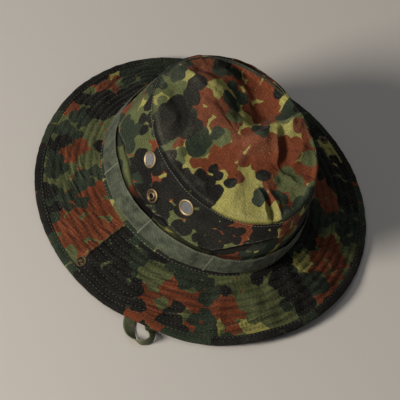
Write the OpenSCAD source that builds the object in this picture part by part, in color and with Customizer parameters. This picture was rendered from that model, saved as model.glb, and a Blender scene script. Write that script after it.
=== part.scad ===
// Wide-brimmed field hat lying on its brim: soft crown, snap-up sides, chin strap.
// Millimetres. +Z is up, -Y is the front, the snaps are on the -X and +X sides.
// The origin is on the table, under the middle of the brim.

/* [Brim] */
// Half width of the brim, side to side
brim_rx = 148; // [144:1:152]
// Half length of the brim, front to back
brim_ry = 157.5; // [153:0.5:162]
// How far the front and back edges curl up off the table
brim_curl = 5; // [0:0.5:8]
// Thickness of the outer and inner brim cloth
cloth_t = 0.65; // [0.5:0.05:0.8]
// Thickness of the stiff lining between them
lining_t = 1.3; // [1:0.1:1.6]
// Width of the bias binding on the brim edge
binding_w = 7.5; // [6:0.5:8]

/* [Crown] */
// Half width of the crown at the brim seam
base_rx = 85.5; // [84:0.5:87]
// Half length of the crown at the brim seam
base_ry = 103; // [100:0.5:106]
// Height of the brim seam above the table
base_z = 26; // [24:0.5:28]
// How much lower the seam is on the -X side
base_tilt = 4; // [2:0.5:5]
// Half width of the flat top
top_rx = 60; // [56:1:64]
// Half length of the flat top
top_ry = 90; // [86:1:94]
// Height of the top edge seam above the table
top_z = 109; // [104:1:114]
// How much the soft top slumps towards the -X side
top_slump = 16.4; // [12:0.2:18]
// Thickness of the crown cloth
wall_t = 1.4; // [1:0.1:1.8]
// Rise of the top panel in its middle
top_dome = 5; // [2:0.5:8]

/* [Bands] */
// Width of the webbing band that holds foliage
band_w = 20; // [18:0.5:22]
// Distance from the brim seam up to the webbing band
band_rise = 8; // [6:0.5:10]
// Height of the sweatband inside the crown
sweat_h = 34; // [28:1:38]

/* [Hardware] */
// Outer radius of a vent eyelet
vent_r = 7.8; // [7:0.1:8.2]
// Radius of a vent's screened hole
vent_hole_r = 5.6; // [5:0.1:5.8]
// Angle of each vent from the middle of its side
vent_angle = 17.8; // [16:0.2:20]
// Outer radius of a snap socket
socket_r = 6.6; // [6:0.1:7]
// Outer radius of a snap stud's flange
stud_r = 5; // [4.5:0.1:5.6]
// Distance from the brim edge to the middle of the snap stud
stud_inset = 12.6; // [12.4:0.1:14]

/* [Chin strap] */
// Width of the chin strap tape
strap_w = 10.5; // [10:0.1:11]
// Thickness of the chin strap tape
strap_t = 1; // [0.8:0.1:1.2]

/* [Hidden] */
$fn = 48;

CAMO = "darkolivegreen";
OLIVE = "dimgray";
BRASS = "goldenrod";
BRONZE = "peru";

LEFT = -1;
RIGHT = 1;

// Placing of the crown on the brim, and of the top over the crown
base_x = -1.5;
base_y = 4;
top_x = 7;
top_y = -11;
top_pitch = 3.5;

// The brim edge lies flat on the table except where it curls up, front and back,
// and where the strap's loop passes under it.
edge_z = 1.9;
curl_start = 0.8;
strap_lift = 4;
strap_lift_angle = 212;
strap_lift_spread = 12;

// The brim's sides fold up about these two lines.
fold_x_left = 91.5;
fold_x_right = 89;
fold_lift = 0.5;
cut_gap = 0.5;
seam_y = -4;
seam_gap = 0.1;
half_brim_t = lining_t / 2 + 0.1 + cloth_t;

STEP = 6;
BIG = 400;

function lerp(p, q, f) = p + (q - p) * f;
function unit(v) = v / norm(v);
function smooth(u) = let (c = min(max(u, 0), 1)) c * c * (3 - 2 * c);

// Three closed curves, by the angle a about the middle: 0 is +X and 90 is the back.
function base_pt(a) =
    [base_x + base_rx * cos(a), base_y + base_ry * sin(a), base_z + base_tilt * cos(a)];
function top_pt(a) =
    [top_x + top_rx * cos(a), top_y + top_ry * sin(a),
     top_z + top_slump * cos(a) + top_pitch * sin(a)];
function edge_rise(a) =
    brim_curl * smooth((abs(sin(a)) - curl_start) / (1 - curl_start))
    + strap_lift * exp(-pow((a - strap_lift_angle) / strap_lift_spread, 2));
function edge_pt(a) = [brim_rx * cos(a), brim_ry * sin(a), edge_z + edge_rise(a)];

// A point of the crown side at fraction f of its height, h out from its middle surface
function wall_mid(a, f) = lerp(base_pt(a), top_pt(a), f);
function wall_normal(a, f) =
    unit(cross(wall_mid(a + 1, f) - wall_mid(a - 1, f), top_pt(a) - base_pt(a)));
function wall_at(a, f, h) = wall_mid(a, f) + h * wall_normal(a, f);
function wall_len(a) = norm(top_pt(a) - base_pt(a));

// A point of the brim at fraction r of its width, h above its middle surface
function brim_mid(a, r) = lerp(base_pt(a), edge_pt(a), r);
function brim_normal(a) =
    unit(cross(edge_pt(a) - base_pt(a), brim_mid(a + 1, 0.5) - brim_mid(a - 1, 0.5)));
function brim_at(a, r, h) = brim_mid(a, r) + h * brim_normal(a);
function brim_len(a) = norm(edge_pt(a) - base_pt(a));

// The straight profile through the snaps of one side
function side_base(s) = [base_x + s * base_rx, seam_y, base_z + s * base_tilt];
function side_top(s) = [top_x + s * top_rx, seam_y, top_z + s * top_slump];
function side_edge(s) = [s * brim_rx, seam_y, edge_z];
function wall_lean(s) =
    atan2(abs(side_base(s).x - side_top(s).x), side_top(s).z - side_base(s).z);
function brim_drop(s) =
    atan2(side_base(s).z - side_edge(s).z, abs(side_edge(s).x - side_base(s).x));
function fold_x(s) = s < 0 ? -fold_x_left : fold_x_right;
function hinge(s) =
    [fold_x(s), seam_y,
     side_base(s).z - abs(fold_x(s) - side_base(s).x) * tan(brim_drop(s))
     + half_brim_t / cos(brim_drop(s)) + fold_lift];
// The fold that lays a side of the brim parallel to the crown
function fold_max(s) = 90 + wall_lean(s) + brim_drop(s);
function folded(s, p) =
    let (v = p - hinge(s), c = cos(fold_max(s)), n = sin(fold_max(s)))
    hinge(s) + [v.x * c - s * v.z * n, v.y, s * v.x * n + v.z * c];

// The stud sits on the brim; its socket is where the folded stud meets the crown.
function stud_normal(s) = [s * sin(brim_drop(s)), 0, cos(brim_drop(s))];
function stud_seat(s) =
    let (t = (brim_rx - stud_inset - abs(side_base(s).x)) / (brim_rx - abs(side_base(s).x)))
    lerp(side_base(s), side_edge(s), t) + stud_normal(s) * half_brim_t;
function socket_normal(s) = [s * cos(wall_lean(s)), 0, sin(wall_lean(s))];
function socket_mid(s) =
    let (along = unit(side_top(s) - side_base(s)))
    side_base(s) + along * ((folded(s, stud_seat(s)) - side_base(s)) * along);
function mate_gap(s) = norm(folded(s, stud_seat(s)) - socket_mid(s)) - wall_t / 2;

// Closed skin over a list of rings of points, going round or with flat ends. The two halves of
// a ring are split into triangles as mirror images, so that layers lie snugly on each other.
module skin(rings, round_trip) {
    n = len(rings);
    m = len(rings[0]);
    last = round_trip ? n - 1 : n - 2;
    sides = [for (i = [0:last]) for (j = [0:m - 1])
        let (a = i * m + j, b = i * m + (j + 1) % m)
        let (c = ((i + 1) % n) * m + (j + 1) % m, d = ((i + 1) % n) * m + j)
        each (j < m / 2 ? [[a, c, b], [a, d, c]] : [[a, d, b], [b, d, c]])];
    caps = round_trip ? [] :
        [[for (j = [0:m - 1]) j], [for (j = [m - 1:-1:0]) (n - 1) * m + j]];
    polyhedron([for (r = rings) each r], concat(sides, caps), convexity = 10);
}

module place(p, n) {
    translate(p) rotate([0, acos(n.z), atan2(n.y, n.x)]) children();
}

// ---- crown ----

vent_f = 0.81;
vent_bore = 6.1;
rivet_r = 2.6;
rivet_bore = 2.9;
crown_levels = [0, 0.33, 0.66, 0.99];
tip_levels = [0.35, 0.7, 1];

function side_angle(s) = s < 0 ? 180 : 0;

// One side of the crown, front seam to back seam, bored for its vents and its socket
module crown_side(s) {
    start = side_angle(s) - 90;
    angles = concat([start + 0.25], [for (i = [1:29]) start + i * STEP], [start + 179.75]);
    difference() {
        skin([for (a = angles)
            concat([for (f = crown_levels) wall_at(a, f, -wall_t / 2)],
                   [for (k = [3:-1:0]) wall_at(a, crown_levels[k], wall_t / 2)])],
            false);
        at_vent(s, -1) cylinder(r = vent_bore, h = 12, center = true);
        at_vent(s, 1) cylinder(r = vent_bore, h = 12, center = true);
        at_socket(s) cylinder(r = rivet_bore, h = 12, center = true);
    }
}

module crown_side_left() { color(CAMO) crown_side(LEFT); }
module crown_side_right() { color(CAMO) crown_side(RIGHT); }

// A point of the top panel at fraction q from its middle to its edge
function tip_at(a, q, h) =
    lerp([top_x, top_y, top_z], top_pt(a) + wall_normal(a, 1) * wall_t / 2, q)
    + [0, 0, h + top_dome * (1 - q * q)];

// The oval top panel, a thin dome over the upper edges of the sides
module crown_top() {
    angles = [for (a = [0:STEP:359]) a];
    n = len(angles);
    m = 2 * len(tip_levels);
    centre = [top_x, top_y, top_z + top_dome];
    points = concat(
        [for (a = angles) each concat(
            [for (q = tip_levels) tip_at(a, q, wall_t)],
            [for (k = [2:-1:0]) tip_at(a, tip_levels[k], 0)])],
        [centre + [0, 0, wall_t], centre]);
    faces = [for (i = [0:n - 1]) let (p = i * m, q = ((i + 1) % n) * m)
        each concat(
            [for (j = [0:m - 2]) each [[p + j, p + j + 1, q + j + 1], [p + j, q + j + 1, q + j]]],
            [[n * m, p, q], [n * m + 1, q + m - 1, p + m - 1]])];
    color(CAMO) polyhedron(points, faces, convexity = 10);
}

// ---- rings of tape and webbing ----

// A height up the crown side as a fraction; a negative height is measured down from the top.
function rise(a, d) = d < 0 ? 1 + d / wall_len(a) : d / wall_len(a);

module wall_ring(lo, hi, h_in, h_out, from = 0, to = 360) {
    whole = to - from == 360;
    skin([for (a = [from:STEP:(whole ? to - 1 : to)])
        [wall_at(a, rise(a, lo), h_in), wall_at(a, rise(a, hi), h_in),
         wall_at(a, rise(a, hi), h_out), wall_at(a, rise(a, lo), h_out)]],
        whole);
}

band_t = 1;
sweat_t = 1.2;
tape_t = 0.8;
ply_gap = 0.1;
outside = wall_t / 2 + 0.25;
sweat_in = outside + sweat_t;

module foliage_band() {
    color(OLIVE) wall_ring(band_rise, band_rise + band_w, outside, outside + band_t);
}

module crown_seam_tape() {
    color("black") wall_ring(-6.5, -1.5, -outside - tape_t, -outside);
}

module sweatband() {
    color("olive") wall_ring(1.5, sweat_h, -sweat_in, -outside);
}

// A blank woven label on the sweatband, at the back of the head
module size_label() {
    color("gainsboro") wall_ring(9, 27, -sweat_in - 0.5, -sweat_in - 0.1, 72, 90);
}

// Nine bar tacks divide the webbing band into loops of about one length.
TACK_ANGLES = [36, 75, 112, 151, 189, 229, 271, 315, 358];
tack_t = 0.5;

module band_bar_tacks() {
    color("tan") for (a = TACK_ANGLES)
        place(wall_at(a, rise(a, band_rise + band_w / 2), outside + band_t + 0.2),
              wall_normal(a, 0.3))
            translate([-band_w / 2, -0.9, 0]) cube([band_w, 1.8, tack_t]);
}

// ---- brim ----

// A ring of the brim: lo is measured from the crown seam and hi in from the edge. A middle row
// of points follows the inner edge of the binding.
module brim_ring(lo, hi, h0, h1) {
    skin([for (a = [0:STEP:359])
        let (width = brim_len(a))
        let (rows = [lo / width, 1 - (binding_w + 1) / width, 1 - hi / width])
        concat([for (k = [0:2]) brim_at(a, rows[k], h1)],
               [for (k = [2:-1:0]) brim_at(a, rows[k], h0)])],
        true);
}

// The planes that part the brim's folding sides from its middle
wing_left = -fold_x_left - cut_gap;
wing_right = fold_x_right + cut_gap;
middle_left = wing_left + 2 * cut_gap;
middle_right = wing_right - 2 * cut_gap;
end_left = acos(fold_x_left / brim_rx);
end_right = acos(fold_x_right / brim_rx);
in_left = acos(fold_x_left / (brim_rx - binding_w));
in_right = acos(fold_x_right / (brim_rx - binding_w));

// Keeps the part of its children that belongs to one piece of the brim
module brim_part(name) {
    intersection() {
        children();
        if (name == "left") translate([wing_left - BIG, -BIG / 2, -BIG / 2]) cube(BIG);
        if (name == "right") translate([wing_right, -BIG / 2, -BIG / 2]) cube(BIG);
        if (name == "front") translate([middle_left, seam_y - seam_gap - BIG, -BIG / 2])
            cube([middle_right - middle_left, BIG, BIG]);
        if (name == "back") translate([middle_left, seam_y + seam_gap, -BIG / 2])
            cube([middle_right - middle_left, BIG, BIG]);
    }
}

seam_reach = 2.2;
edge_inset = 0.9;
stud_bore = 1.3;

module brim_ply(name, h0, h1) {
    difference() {
        brim_part(name) brim_ring(seam_reach, edge_inset, h0, h1);
        if (name == "left") at_stud(LEFT) cylinder(r = stud_bore, h = 12, center = true);
        if (name == "right") at_stud(RIGHT) cylinder(r = stud_bore, h = 12, center = true);
    }
}

half_lining = lining_t / 2;

module outer_cloth(name) { brim_ply(name, half_lining + ply_gap, half_brim_t); }
module lining(name) { brim_ply(name, -half_lining, half_lining); }
module inner_cloth(name) { brim_ply(name, -half_brim_t, -half_lining - ply_gap); }

module brim_front_outer_cloth() { color(CAMO) outer_cloth("front"); }
module brim_back_outer_cloth() { color(CAMO) outer_cloth("back"); }
module brim_left_outer_cloth() { color(CAMO) outer_cloth("left"); }
module brim_right_outer_cloth() { color(CAMO) outer_cloth("right"); }
module brim_front_lining() { color("ivory") lining("front"); }
module brim_back_lining() { color("ivory") lining("back"); }
module brim_left_lining() { color("ivory") lining("left"); }
module brim_right_lining() { color("ivory") lining("right"); }
module brim_front_inner_cloth() { color(CAMO) inner_cloth("front"); }
module brim_back_inner_cloth() { color(CAMO) inner_cloth("back"); }
module brim_left_inner_cloth() { color(CAMO) inner_cloth("left"); }
module brim_right_inner_cloth() { color(CAMO) inner_cloth("right"); }

// The binding wraps the raw edge. Its profile gives how far in from the edge, then the height.
binding_t = 0.6;
grip = half_brim_t + 0.2;
BINDING_PROFILE = [
    [binding_w, grip], [binding_w, grip + binding_t], [0.6, grip + binding_t],
    [-0.3, grip - 0.4], [-0.3, 0.4 - grip], [0.6, -grip - binding_t],
    [binding_w, -grip - binding_t], [binding_w, -grip], [0.6, -grip], [0.6, grip]];

function binding_pt(a, p) = brim_at(a, 1 - p[0] / brim_len(a), p[1]);

// The ring where the facets from angle lo to the next step cross the plane at x
function cut_ring(x, lo) =
    [for (p = BINDING_PROFILE)
        let (u = binding_pt(lo, p), v = binding_pt(lo + STEP, p))
        lerp(u, v, (x - u.x) / (v.x - u.x))];

// One length of binding, from a plane at x0 to a plane at x1, going round from a0 to a1
module binding(x0, x1, a0, a1) {
    first = STEP * floor(a0 / STEP);
    last = STEP * floor(a1 / STEP);
    skin(concat([cut_ring(x0, first)],
                [for (a = [first + STEP:STEP:last]) [for (p = BINDING_PROFILE) binding_pt(a, p)]],
                [cut_ring(x1, last)]),
         false);
}

module binding_front() {
    color(CAMO) binding(middle_left, middle_right, 180 + end_left, 360 - end_right);
}
module binding_back() { color(CAMO) binding(middle_right, middle_left, end_right, 180 - end_left); }
module binding_left() { color(CAMO) binding(wing_left, wing_left, 180 - in_left, 180 + in_left); }
module binding_right() { color(CAMO) binding(wing_right, wing_right, -in_right, in_right); }

// ---- screened vents ----

module at_vent(s, d) {
    a = side_angle(s) + d * vent_angle;
    place(wall_at(a, vent_f, 0), wall_normal(a, vent_f)) children();
}

// Heights in the hardware's own frame, out from the middle of the crown cloth
flat_clear = 0.4;
seat = wall_t / 2 + flat_clear;

// The rim outside, its barrel through the cloth, and the curl that holds the washer
module eyelet(s, d) {
    r = vent_hole_r;
    color(BRASS) at_vent(s, d) rotate_extrude() polygon([
        [r, -seat - 1.5], [r + 1.2, -seat - 1.5], [r + 1.2, -seat - 0.8],
        [r + 0.4, -seat - 0.8], [r + 0.4, seat], [vent_r - 0.3, seat],
        [vent_r, seat + 0.3], [vent_r - 0.4, seat + 0.8], [vent_r - 1.2, seat + 1],
        [r, seat + 0.5]]);
}

module screen(s, d) {
    color("lightsteelblue") at_vent(s, d) translate([0, 0, seat - 0.2])
        cylinder(r = vent_hole_r - 0.05, h = 0.4);
}

module washer(s, d) {
    color(BRASS) at_vent(s, d) rotate_extrude()
        translate([vent_hole_r + 0.5, -seat - 0.7])
            square([vent_r - vent_hole_r - 0.7, 0.6]);
}

module vent_left_front_eyelet() { eyelet(LEFT, 1); }
module vent_left_back_eyelet() { eyelet(LEFT, -1); }
module vent_right_front_eyelet() { eyelet(RIGHT, -1); }
module vent_right_back_eyelet() { eyelet(RIGHT, 1); }
module vent_left_front_screen() { screen(LEFT, 1); }
module vent_left_back_screen() { screen(LEFT, -1); }
module vent_right_front_screen() { screen(RIGHT, -1); }
module vent_right_back_screen() { screen(RIGHT, 1); }
module vent_left_front_washer() { washer(LEFT, 1); }
module vent_left_back_washer() { washer(LEFT, -1); }
module vent_right_front_washer() { washer(RIGHT, -1); }
module vent_right_back_washer() { washer(RIGHT, 1); }

// ---- snaps ----

socket_h = 1.6;
socket_hole_r = 2.2;
post_r = 1.8;
engage = 0.7;

module at_socket(s) { place(socket_mid(s), socket_normal(s)) children(); }
module at_stud(s) { place(stud_seat(s), stud_normal(s)) children(); }

// The ring that the stud snaps into, with its rivet tube through the crown
module snap_socket(s) {
    r = socket_hole_r;
    color(BRONZE) at_socket(s) rotate_extrude() polygon([
        [r, -seat - 0.9], [rivet_r, -seat - 0.9], [rivet_r, seat], [socket_r - 0.4, seat],
        [socket_r, seat + 0.4], [socket_r - 0.3, seat + 0.9], [socket_r - 1.4, seat + 1.2],
        [socket_r - 2.3, seat + 0.7], [r + 1.1, seat + socket_h - 0.2],
        [r + 0.3, seat + socket_h], [r, seat + socket_h - 0.2]]);
}

// The cap that the rivet tube closes into, inside the crown
module socket_cap(s) {
    color(BRONZE) at_socket(s) rotate_extrude() polygon([
        [0, -seat - 1.7], [3.2, -seat - 1.7], [socket_r - 0.3, -seat - 0.9],
        [socket_r - 0.3, -seat], [rivet_r + 0.1, -seat], [rivet_r + 0.1, -seat - 1],
        [0, -seat - 1]]);
}

// The flange and post on the brim, with the rivet that goes down through the brim
module snap_stud(s) {
    tip = mate_gap(s) - flat_clear - socket_h + engage;
    color(BRASS) at_stud(s) rotate_extrude() polygon([
        [0, -2 * half_brim_t - 0.5], [1.1, -2 * half_brim_t - 0.5], [1.1, 0.15],
        [stud_r - 0.2, 0.15], [stud_r, 0.4], [stud_r - 0.4, 0.8], [stud_r - 1.6, 0.7],
        [post_r, 0.9], [post_r - 0.3, tip - 1], [post_r, tip - 0.6],
        [post_r - 0.3, tip - 0.1], [post_r - 0.8, tip], [0, tip]]);
}

module stud_cap(s) {
    color(BRONZE) at_stud(s) translate([0, 0, -2 * half_brim_t - 0.45]) mirror([0, 0, 1])
        rotate_extrude() polygon([
            [1.2, 0], [stud_r - 0.3, 0], [stud_r - 0.1, 0.3], [stud_r - 0.7, 0.7],
            [3, 0.9], [0, 0.9], [0, 0.15], [1.2, 0.15]]);
}

module snap_socket_left() { snap_socket(LEFT); }
module snap_socket_right() { snap_socket(RIGHT); }
module socket_cap_left() { socket_cap(LEFT); }
module socket_cap_right() { socket_cap(RIGHT); }
module snap_stud_left() { snap_stud(LEFT); }
module snap_stud_right() { snap_stud(RIGHT); }
module stud_cap_left() { stud_cap(LEFT); }
module stud_cap_right() { stud_cap(RIGHT); }

// ---- chin strap ----

// The tape's centre line from the left anchor to the right one: x, y, z, then the compass
// angle and the rise of the tape's width.
STRAP_ROUTE = [
    [-85, 4, 19.2, 270, 0], [-85.4, 4.5, 14.5, 270, 0], [-84, 5.5, 9.5, 275, 0],
    [-80, 7.5, 5, 285, 0], [-74, 10.5, 2, 292, 0], [-65, 15.5, 0.9, 298, 0],
    [-52, 23.5, 0.9, 302, 4], [-38, 32, 1.9, 303, 14], [-24, 40, 3.8, 300, 38],
    [-10, 46.5, 5.5, 285, 72], [4, 49.5, 5.8, 270, 88], [17, 46.5, 5.8, 235, 88],
    [23.5, 38.5, 5.4, 185, 70], [21, 30, 3.6, 150, 36], [13, 23.1, 2.3, 125, 6],
    [0, 14, 2.2, 125, 0], [-20, 0, 2.2, 125, 0], [-40, -14, 2.2, 125, 0],
    [-60, -28, 2.2, 125, 0], [-80, -42, 1.5, 125, 0], [-96, -53, 1, 127, 0],
    [-111, -61.5, 1, 124, 2], [-124, -68.5, 1.1, 133, 4], [-133, -76.5, 1.8, 152, 10],
    [-137.8, -85.5, 3, 172, 26], [-139.2, -93, 4.7, 192, 52], [-136.2, -99.3, 5.7, 222, 80],
    [-129.2, -101.3, 5.7, 105, 82], [-123.9, -97.6, 4.6, 125, 50],
    [-119.8, -91.5, 2, 132, 11], [-113, -82, 1.1, 131, 3], [-104, -71, 2.4, 126, 0],
    [-93, -58, 3, 124, 0], [-80, -42, 3.5, 125, 0], [-60, -28, 3.9, 125, 0],
    [-40, -14, 3.9, 125, 0], [-20, 0, 3.9, 125, 0], [0, 14, 3.9, 125, 0],
    [9, 18.5, 3.9, 115, 0], [18, 20, 3.6, 97, 0], [28, 19.5, 2, 84, 0],
    [39, 17.5, 0.9, 80, 0], [52, 14.5, 0.9, 78, 0], [64, 11.5, 1.3, 78, 0],
    [72.5, 9, 4, 82, 0], [78, 7, 9, 86, 0], [81, 5.5, 15, 90, 0],
    [82, 4.5, 21.5, 90, 0], [81.5, 4, 28, 90, 0]
];

function strap_pt(i) = [STRAP_ROUTE[i].x, STRAP_ROUTE[i].y, STRAP_ROUTE[i].z];

function strap_ring(i) =
    let (last = len(STRAP_ROUTE) - 1, yaw = STRAP_ROUTE[i][3], lift = STRAP_ROUTE[i][4])
    let (t = unit(strap_pt(min(i + 1, last)) - strap_pt(max(i - 1, 0))))
    let (w = [cos(yaw) * cos(lift), sin(yaw) * cos(lift), sin(lift)])
    let (across = unit(w - (w * t) * t), up = cross(t, across))
    let (a = strap_w / 2, b = strap_t / 2)
    [for (p = [[a, -b / 2], [a, b / 2], [a - 0.3, b], [0.3 - a, b],
               [-a, b / 2], [-a, -b / 2], [0.3 - a, -b], [a - 0.3, -b]])
        strap_pt(i) + across * p[0] + up * p[1]];

module chin_strap() {
    color("darkslategray") skin([for (i = [0:len(STRAP_ROUTE) - 1]) strap_ring(i)], false);
}

// The slider rides on the two runs of the strap where they lie straight, one on the other.
slider_at = [-30, -7, 0.2];
run_dir = atan2(-56, -80);
slider_len = 14;
slider_w = 14.5;
slider_h = 6;
slot_w = 11.5;
slot_h = 3.8;
slider_floor = 1.2;

module round_rect(w, h, r) {
    translate([r - w / 2, 0]) square([w - 2 * r, h]);
    translate([-w / 2, r]) square([w, h - 2 * r]);
    for (x = [r - w / 2, w / 2 - r], y = [r, h - r]) translate([x, y]) circle(r = r);
}

module strap_slider() {
    color("saddlebrown") translate(slider_at) rotate([0, 0, run_dir])
        rotate([90, 0, 90]) linear_extrude(slider_len, center = true) difference() {
            round_rect(slider_w, slider_h, 1.8);
            translate([0, slider_floor]) round_rect(slot_w, slot_h, 0.8);
        }
}

// A folded tab sewn inside the sweatband holds each end of the strap.
anchor_w = 12;
anchor_h = 10;
anchor_t = 1.2;

module strap_anchor(s) {
    a = side_angle(s);
    n = wall_normal(a, 0);
    color("black") place(wall_at(a, 0, -sweat_in - flat_clear), n)
        translate([-9, -anchor_w / 2, -anchor_t]) cube([anchor_h, anchor_w, anchor_t]);
}

module strap_anchor_left() { strap_anchor(LEFT); }
module strap_anchor_right() { strap_anchor(RIGHT); }

crown_top();
crown_side_left();
crown_side_right();
crown_seam_tape();
foliage_band();
band_bar_tacks();
sweatband();
size_label();
brim_front_outer_cloth();
brim_front_lining();
brim_front_inner_cloth();
brim_back_outer_cloth();
brim_back_lining();
brim_back_inner_cloth();
brim_left_outer_cloth();
brim_left_lining();
brim_left_inner_cloth();
brim_right_outer_cloth();
brim_right_lining();
brim_right_inner_cloth();
binding_front();
binding_back();
binding_left();
binding_right();
vent_left_front_eyelet();
vent_left_back_eyelet();
vent_right_front_eyelet();
vent_right_back_eyelet();
vent_left_front_screen();
vent_left_back_screen();
vent_right_front_screen();
vent_right_back_screen();
vent_left_front_washer();
vent_left_back_washer();
vent_right_front_washer();
vent_right_back_washer();
snap_socket_left();
snap_socket_right();
socket_cap_left();
socket_cap_right();
snap_stud_left();
snap_stud_right();
stud_cap_left();
stud_cap_right();
chin_strap();
strap_slider();
strap_anchor_left();
strap_anchor_right();
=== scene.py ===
"""A wide-brim camouflage field hat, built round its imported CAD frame.

Lengths are in millimetres and angles in degrees until a mesh is made, which turns them into metres.
Angle 0 is the +X side, 90 the back, 180 the -X side and 270 the front.
"""
import math

import bpy
import numpy as np
from mathutils import Matrix, Vector


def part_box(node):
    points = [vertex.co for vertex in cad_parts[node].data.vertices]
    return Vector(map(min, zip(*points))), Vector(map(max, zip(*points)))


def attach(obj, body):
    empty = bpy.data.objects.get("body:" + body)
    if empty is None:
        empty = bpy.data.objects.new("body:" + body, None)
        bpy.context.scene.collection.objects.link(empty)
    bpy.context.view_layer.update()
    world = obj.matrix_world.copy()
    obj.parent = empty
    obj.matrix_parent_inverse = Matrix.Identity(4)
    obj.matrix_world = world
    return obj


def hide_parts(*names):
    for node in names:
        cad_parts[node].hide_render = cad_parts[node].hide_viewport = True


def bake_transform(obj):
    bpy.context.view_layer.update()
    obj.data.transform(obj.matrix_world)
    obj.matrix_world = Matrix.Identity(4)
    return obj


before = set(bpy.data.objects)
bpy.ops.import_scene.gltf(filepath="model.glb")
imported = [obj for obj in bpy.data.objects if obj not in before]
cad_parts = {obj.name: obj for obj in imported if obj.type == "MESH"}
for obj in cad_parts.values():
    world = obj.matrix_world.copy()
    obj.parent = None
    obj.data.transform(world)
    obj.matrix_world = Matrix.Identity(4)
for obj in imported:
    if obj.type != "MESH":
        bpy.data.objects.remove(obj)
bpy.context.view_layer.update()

MM = 0.001

# ---- the design's driving numbers

# The brim's edge: its half-axes, its curl at the front and back, its height, and its lift by the strap.
BRIM_RX, BRIM_RY, BRIM_CURL, EDGE_Z = 148.0, 157.5, 5.0, 1.9
CURL_START, STRAP_LIFT, STRAP_LIFT_ANGLE, STRAP_LIFT_SPREAD = 0.8, 4.0, 212.0, 12.0
# The tilted ellipses at the foot of the crown's side and at the seam round its top.
BASE_X, BASE_Y, BASE_Z, BASE_RX, BASE_RY, BASE_TILT = -1.5, 4.0, 26.0, 85.5, 103.0, 4.0
TOP_X, TOP_Y, TOP_Z, TOP_RX, TOP_RY, TOP_SLUMP, TOP_PITCH = 7.0, -11.0, 109.0, 60.0, 90.0, 16.4, 3.5
# How far the top bulges, the thickness of the crown's side, and half that of the quilted brim.
TOP_DOME, WALL_T, HALF_BRIM_T = 5.0, 1.4, 1.4
# Widths, heights and thicknesses of the tapes. OUTSIDE is from the wall's middle to what lies on it.
BINDING_W, BINDING_T = 7.5, 0.6
BAND_RISE, BAND_W, BAND_T, OUTSIDE = 8.0, 20.0, 1.0, 0.95
SWEAT_T, SWEAT_LOW, SWEAT_H, TAPE_T = 1.2, 1.5, 34.0, 0.8
# A vent's share of the wall's height, its angle from the side, its hole, and its screen's seat.
VENT_F, VENT_ANGLE, VENT_HOLE_R, VENT_SEAT = 0.81, 17.8, 5.6, 1.1
# Where bar tacks hold the webbing down.
TACK_ANGLES = (36, 75, 112, 151, 189, 229, 271, 315, 358)
# The names of each half of the brim's folding side and of its middle part.
SIDE, MIDDLE = {True: "left", False: "right"}, {True: "back", False: "front"}
UP = np.array([0.0, 0.0, 1.0])


def cosd(a):
    return np.cos(np.radians(a))


def sind(a):
    return np.sin(np.radians(a))


def xyz(x, y, z):
    return np.stack(np.broadcast_arrays(x, y, z), -1).astype(float)


def direction(azimuth, elevation):
    return xyz(cosd(azimuth) * cosd(elevation), sind(azimuth) * cosd(elevation), sind(elevation))


def unit(v):
    return v / np.linalg.norm(v, axis=-1, keepdims=True)


def smooth(t):
    t = np.clip(t, 0, 1)
    return t * t * (3 - 2 * t)


def bell(d, width):
    return np.exp(-(d / width) ** 2)


def scaled(vectors, by):
    return vectors * np.asarray(by)[..., None]


def lerp(p, q, f):
    return p + scaled(q - p, f)


def arc_length(line):
    """How far along a line each of its points is."""
    return np.concatenate([[0], np.cumsum(np.linalg.norm(np.diff(line, axis=0), axis=1))])


def turn_from(a, centre):
    """How many degrees a is past centre, from -180 to 180."""
    return (np.asarray(a) - centre + 180) % 360 - 180


def base_pt(a):
    return xyz(BASE_X + BASE_RX * cosd(a), BASE_Y + BASE_RY * sind(a), BASE_Z + BASE_TILT * cosd(a))


def top_pt(a):
    return xyz(TOP_X + TOP_RX * cosd(a), TOP_Y + TOP_RY * sind(a),
               TOP_Z + TOP_SLUMP * cosd(a) + TOP_PITCH * sind(a))


def edge_pt(a):
    curl = BRIM_CURL * smooth((abs(sind(a)) - CURL_START) / (1 - CURL_START))
    lift = STRAP_LIFT * bell(turn_from(a, STRAP_LIFT_ANGLE), STRAP_LIFT_SPREAD)
    return xyz(BRIM_RX * cosd(a), BRIM_RY * sind(a), EDGE_Z + curl + lift)


def wall_mid(a, f):
    return lerp(base_pt(a), top_pt(a), f)


def wall_normal(a, f):
    return unit(np.cross(wall_mid(a + 1, f) - wall_mid(a - 1, f), top_pt(a) - base_pt(a)))


def wall_at(a, f, h):
    return wall_mid(a, f) + scaled(wall_normal(a, f), h)


def wall_len(a):
    return np.linalg.norm(top_pt(a) - base_pt(a), axis=-1)


def brim_mid(a, r):
    return lerp(base_pt(a), edge_pt(a), r)


def brim_normal(a):
    half = np.full(np.shape(a), 0.5)
    return unit(np.cross(edge_pt(a) - base_pt(a), brim_mid(a + 1, half) - brim_mid(a - 1, half)))


def brim_at(a, r, h):
    return brim_mid(a, r) + scaled(brim_normal(a), h)


def brim_len(a):
    return np.linalg.norm(edge_pt(a) - base_pt(a), axis=-1)


# ---- noise

LATTICE = 64
lattice = np.random.default_rng(3).uniform(-1, 1, (LATTICE, LATTICE, LATTICE))


def noise(x, y, z=0.0):
    """Smooth value noise, about -1 to 1, with features one unit wide."""
    p = xyz(x, y, z)
    low = np.floor(p).astype(int)
    t = smooth(p - low)
    total = 0.0
    for corner in np.ndindex(2, 2, 2):
        weight = np.prod(np.where(corner, t, 1 - t), -1)
        i, j, k = np.moveaxis((low + corner) % LATTICE, -1, 0)
        total = total + weight * lattice[i, j, k]
    return total


# ---- the camera

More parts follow.
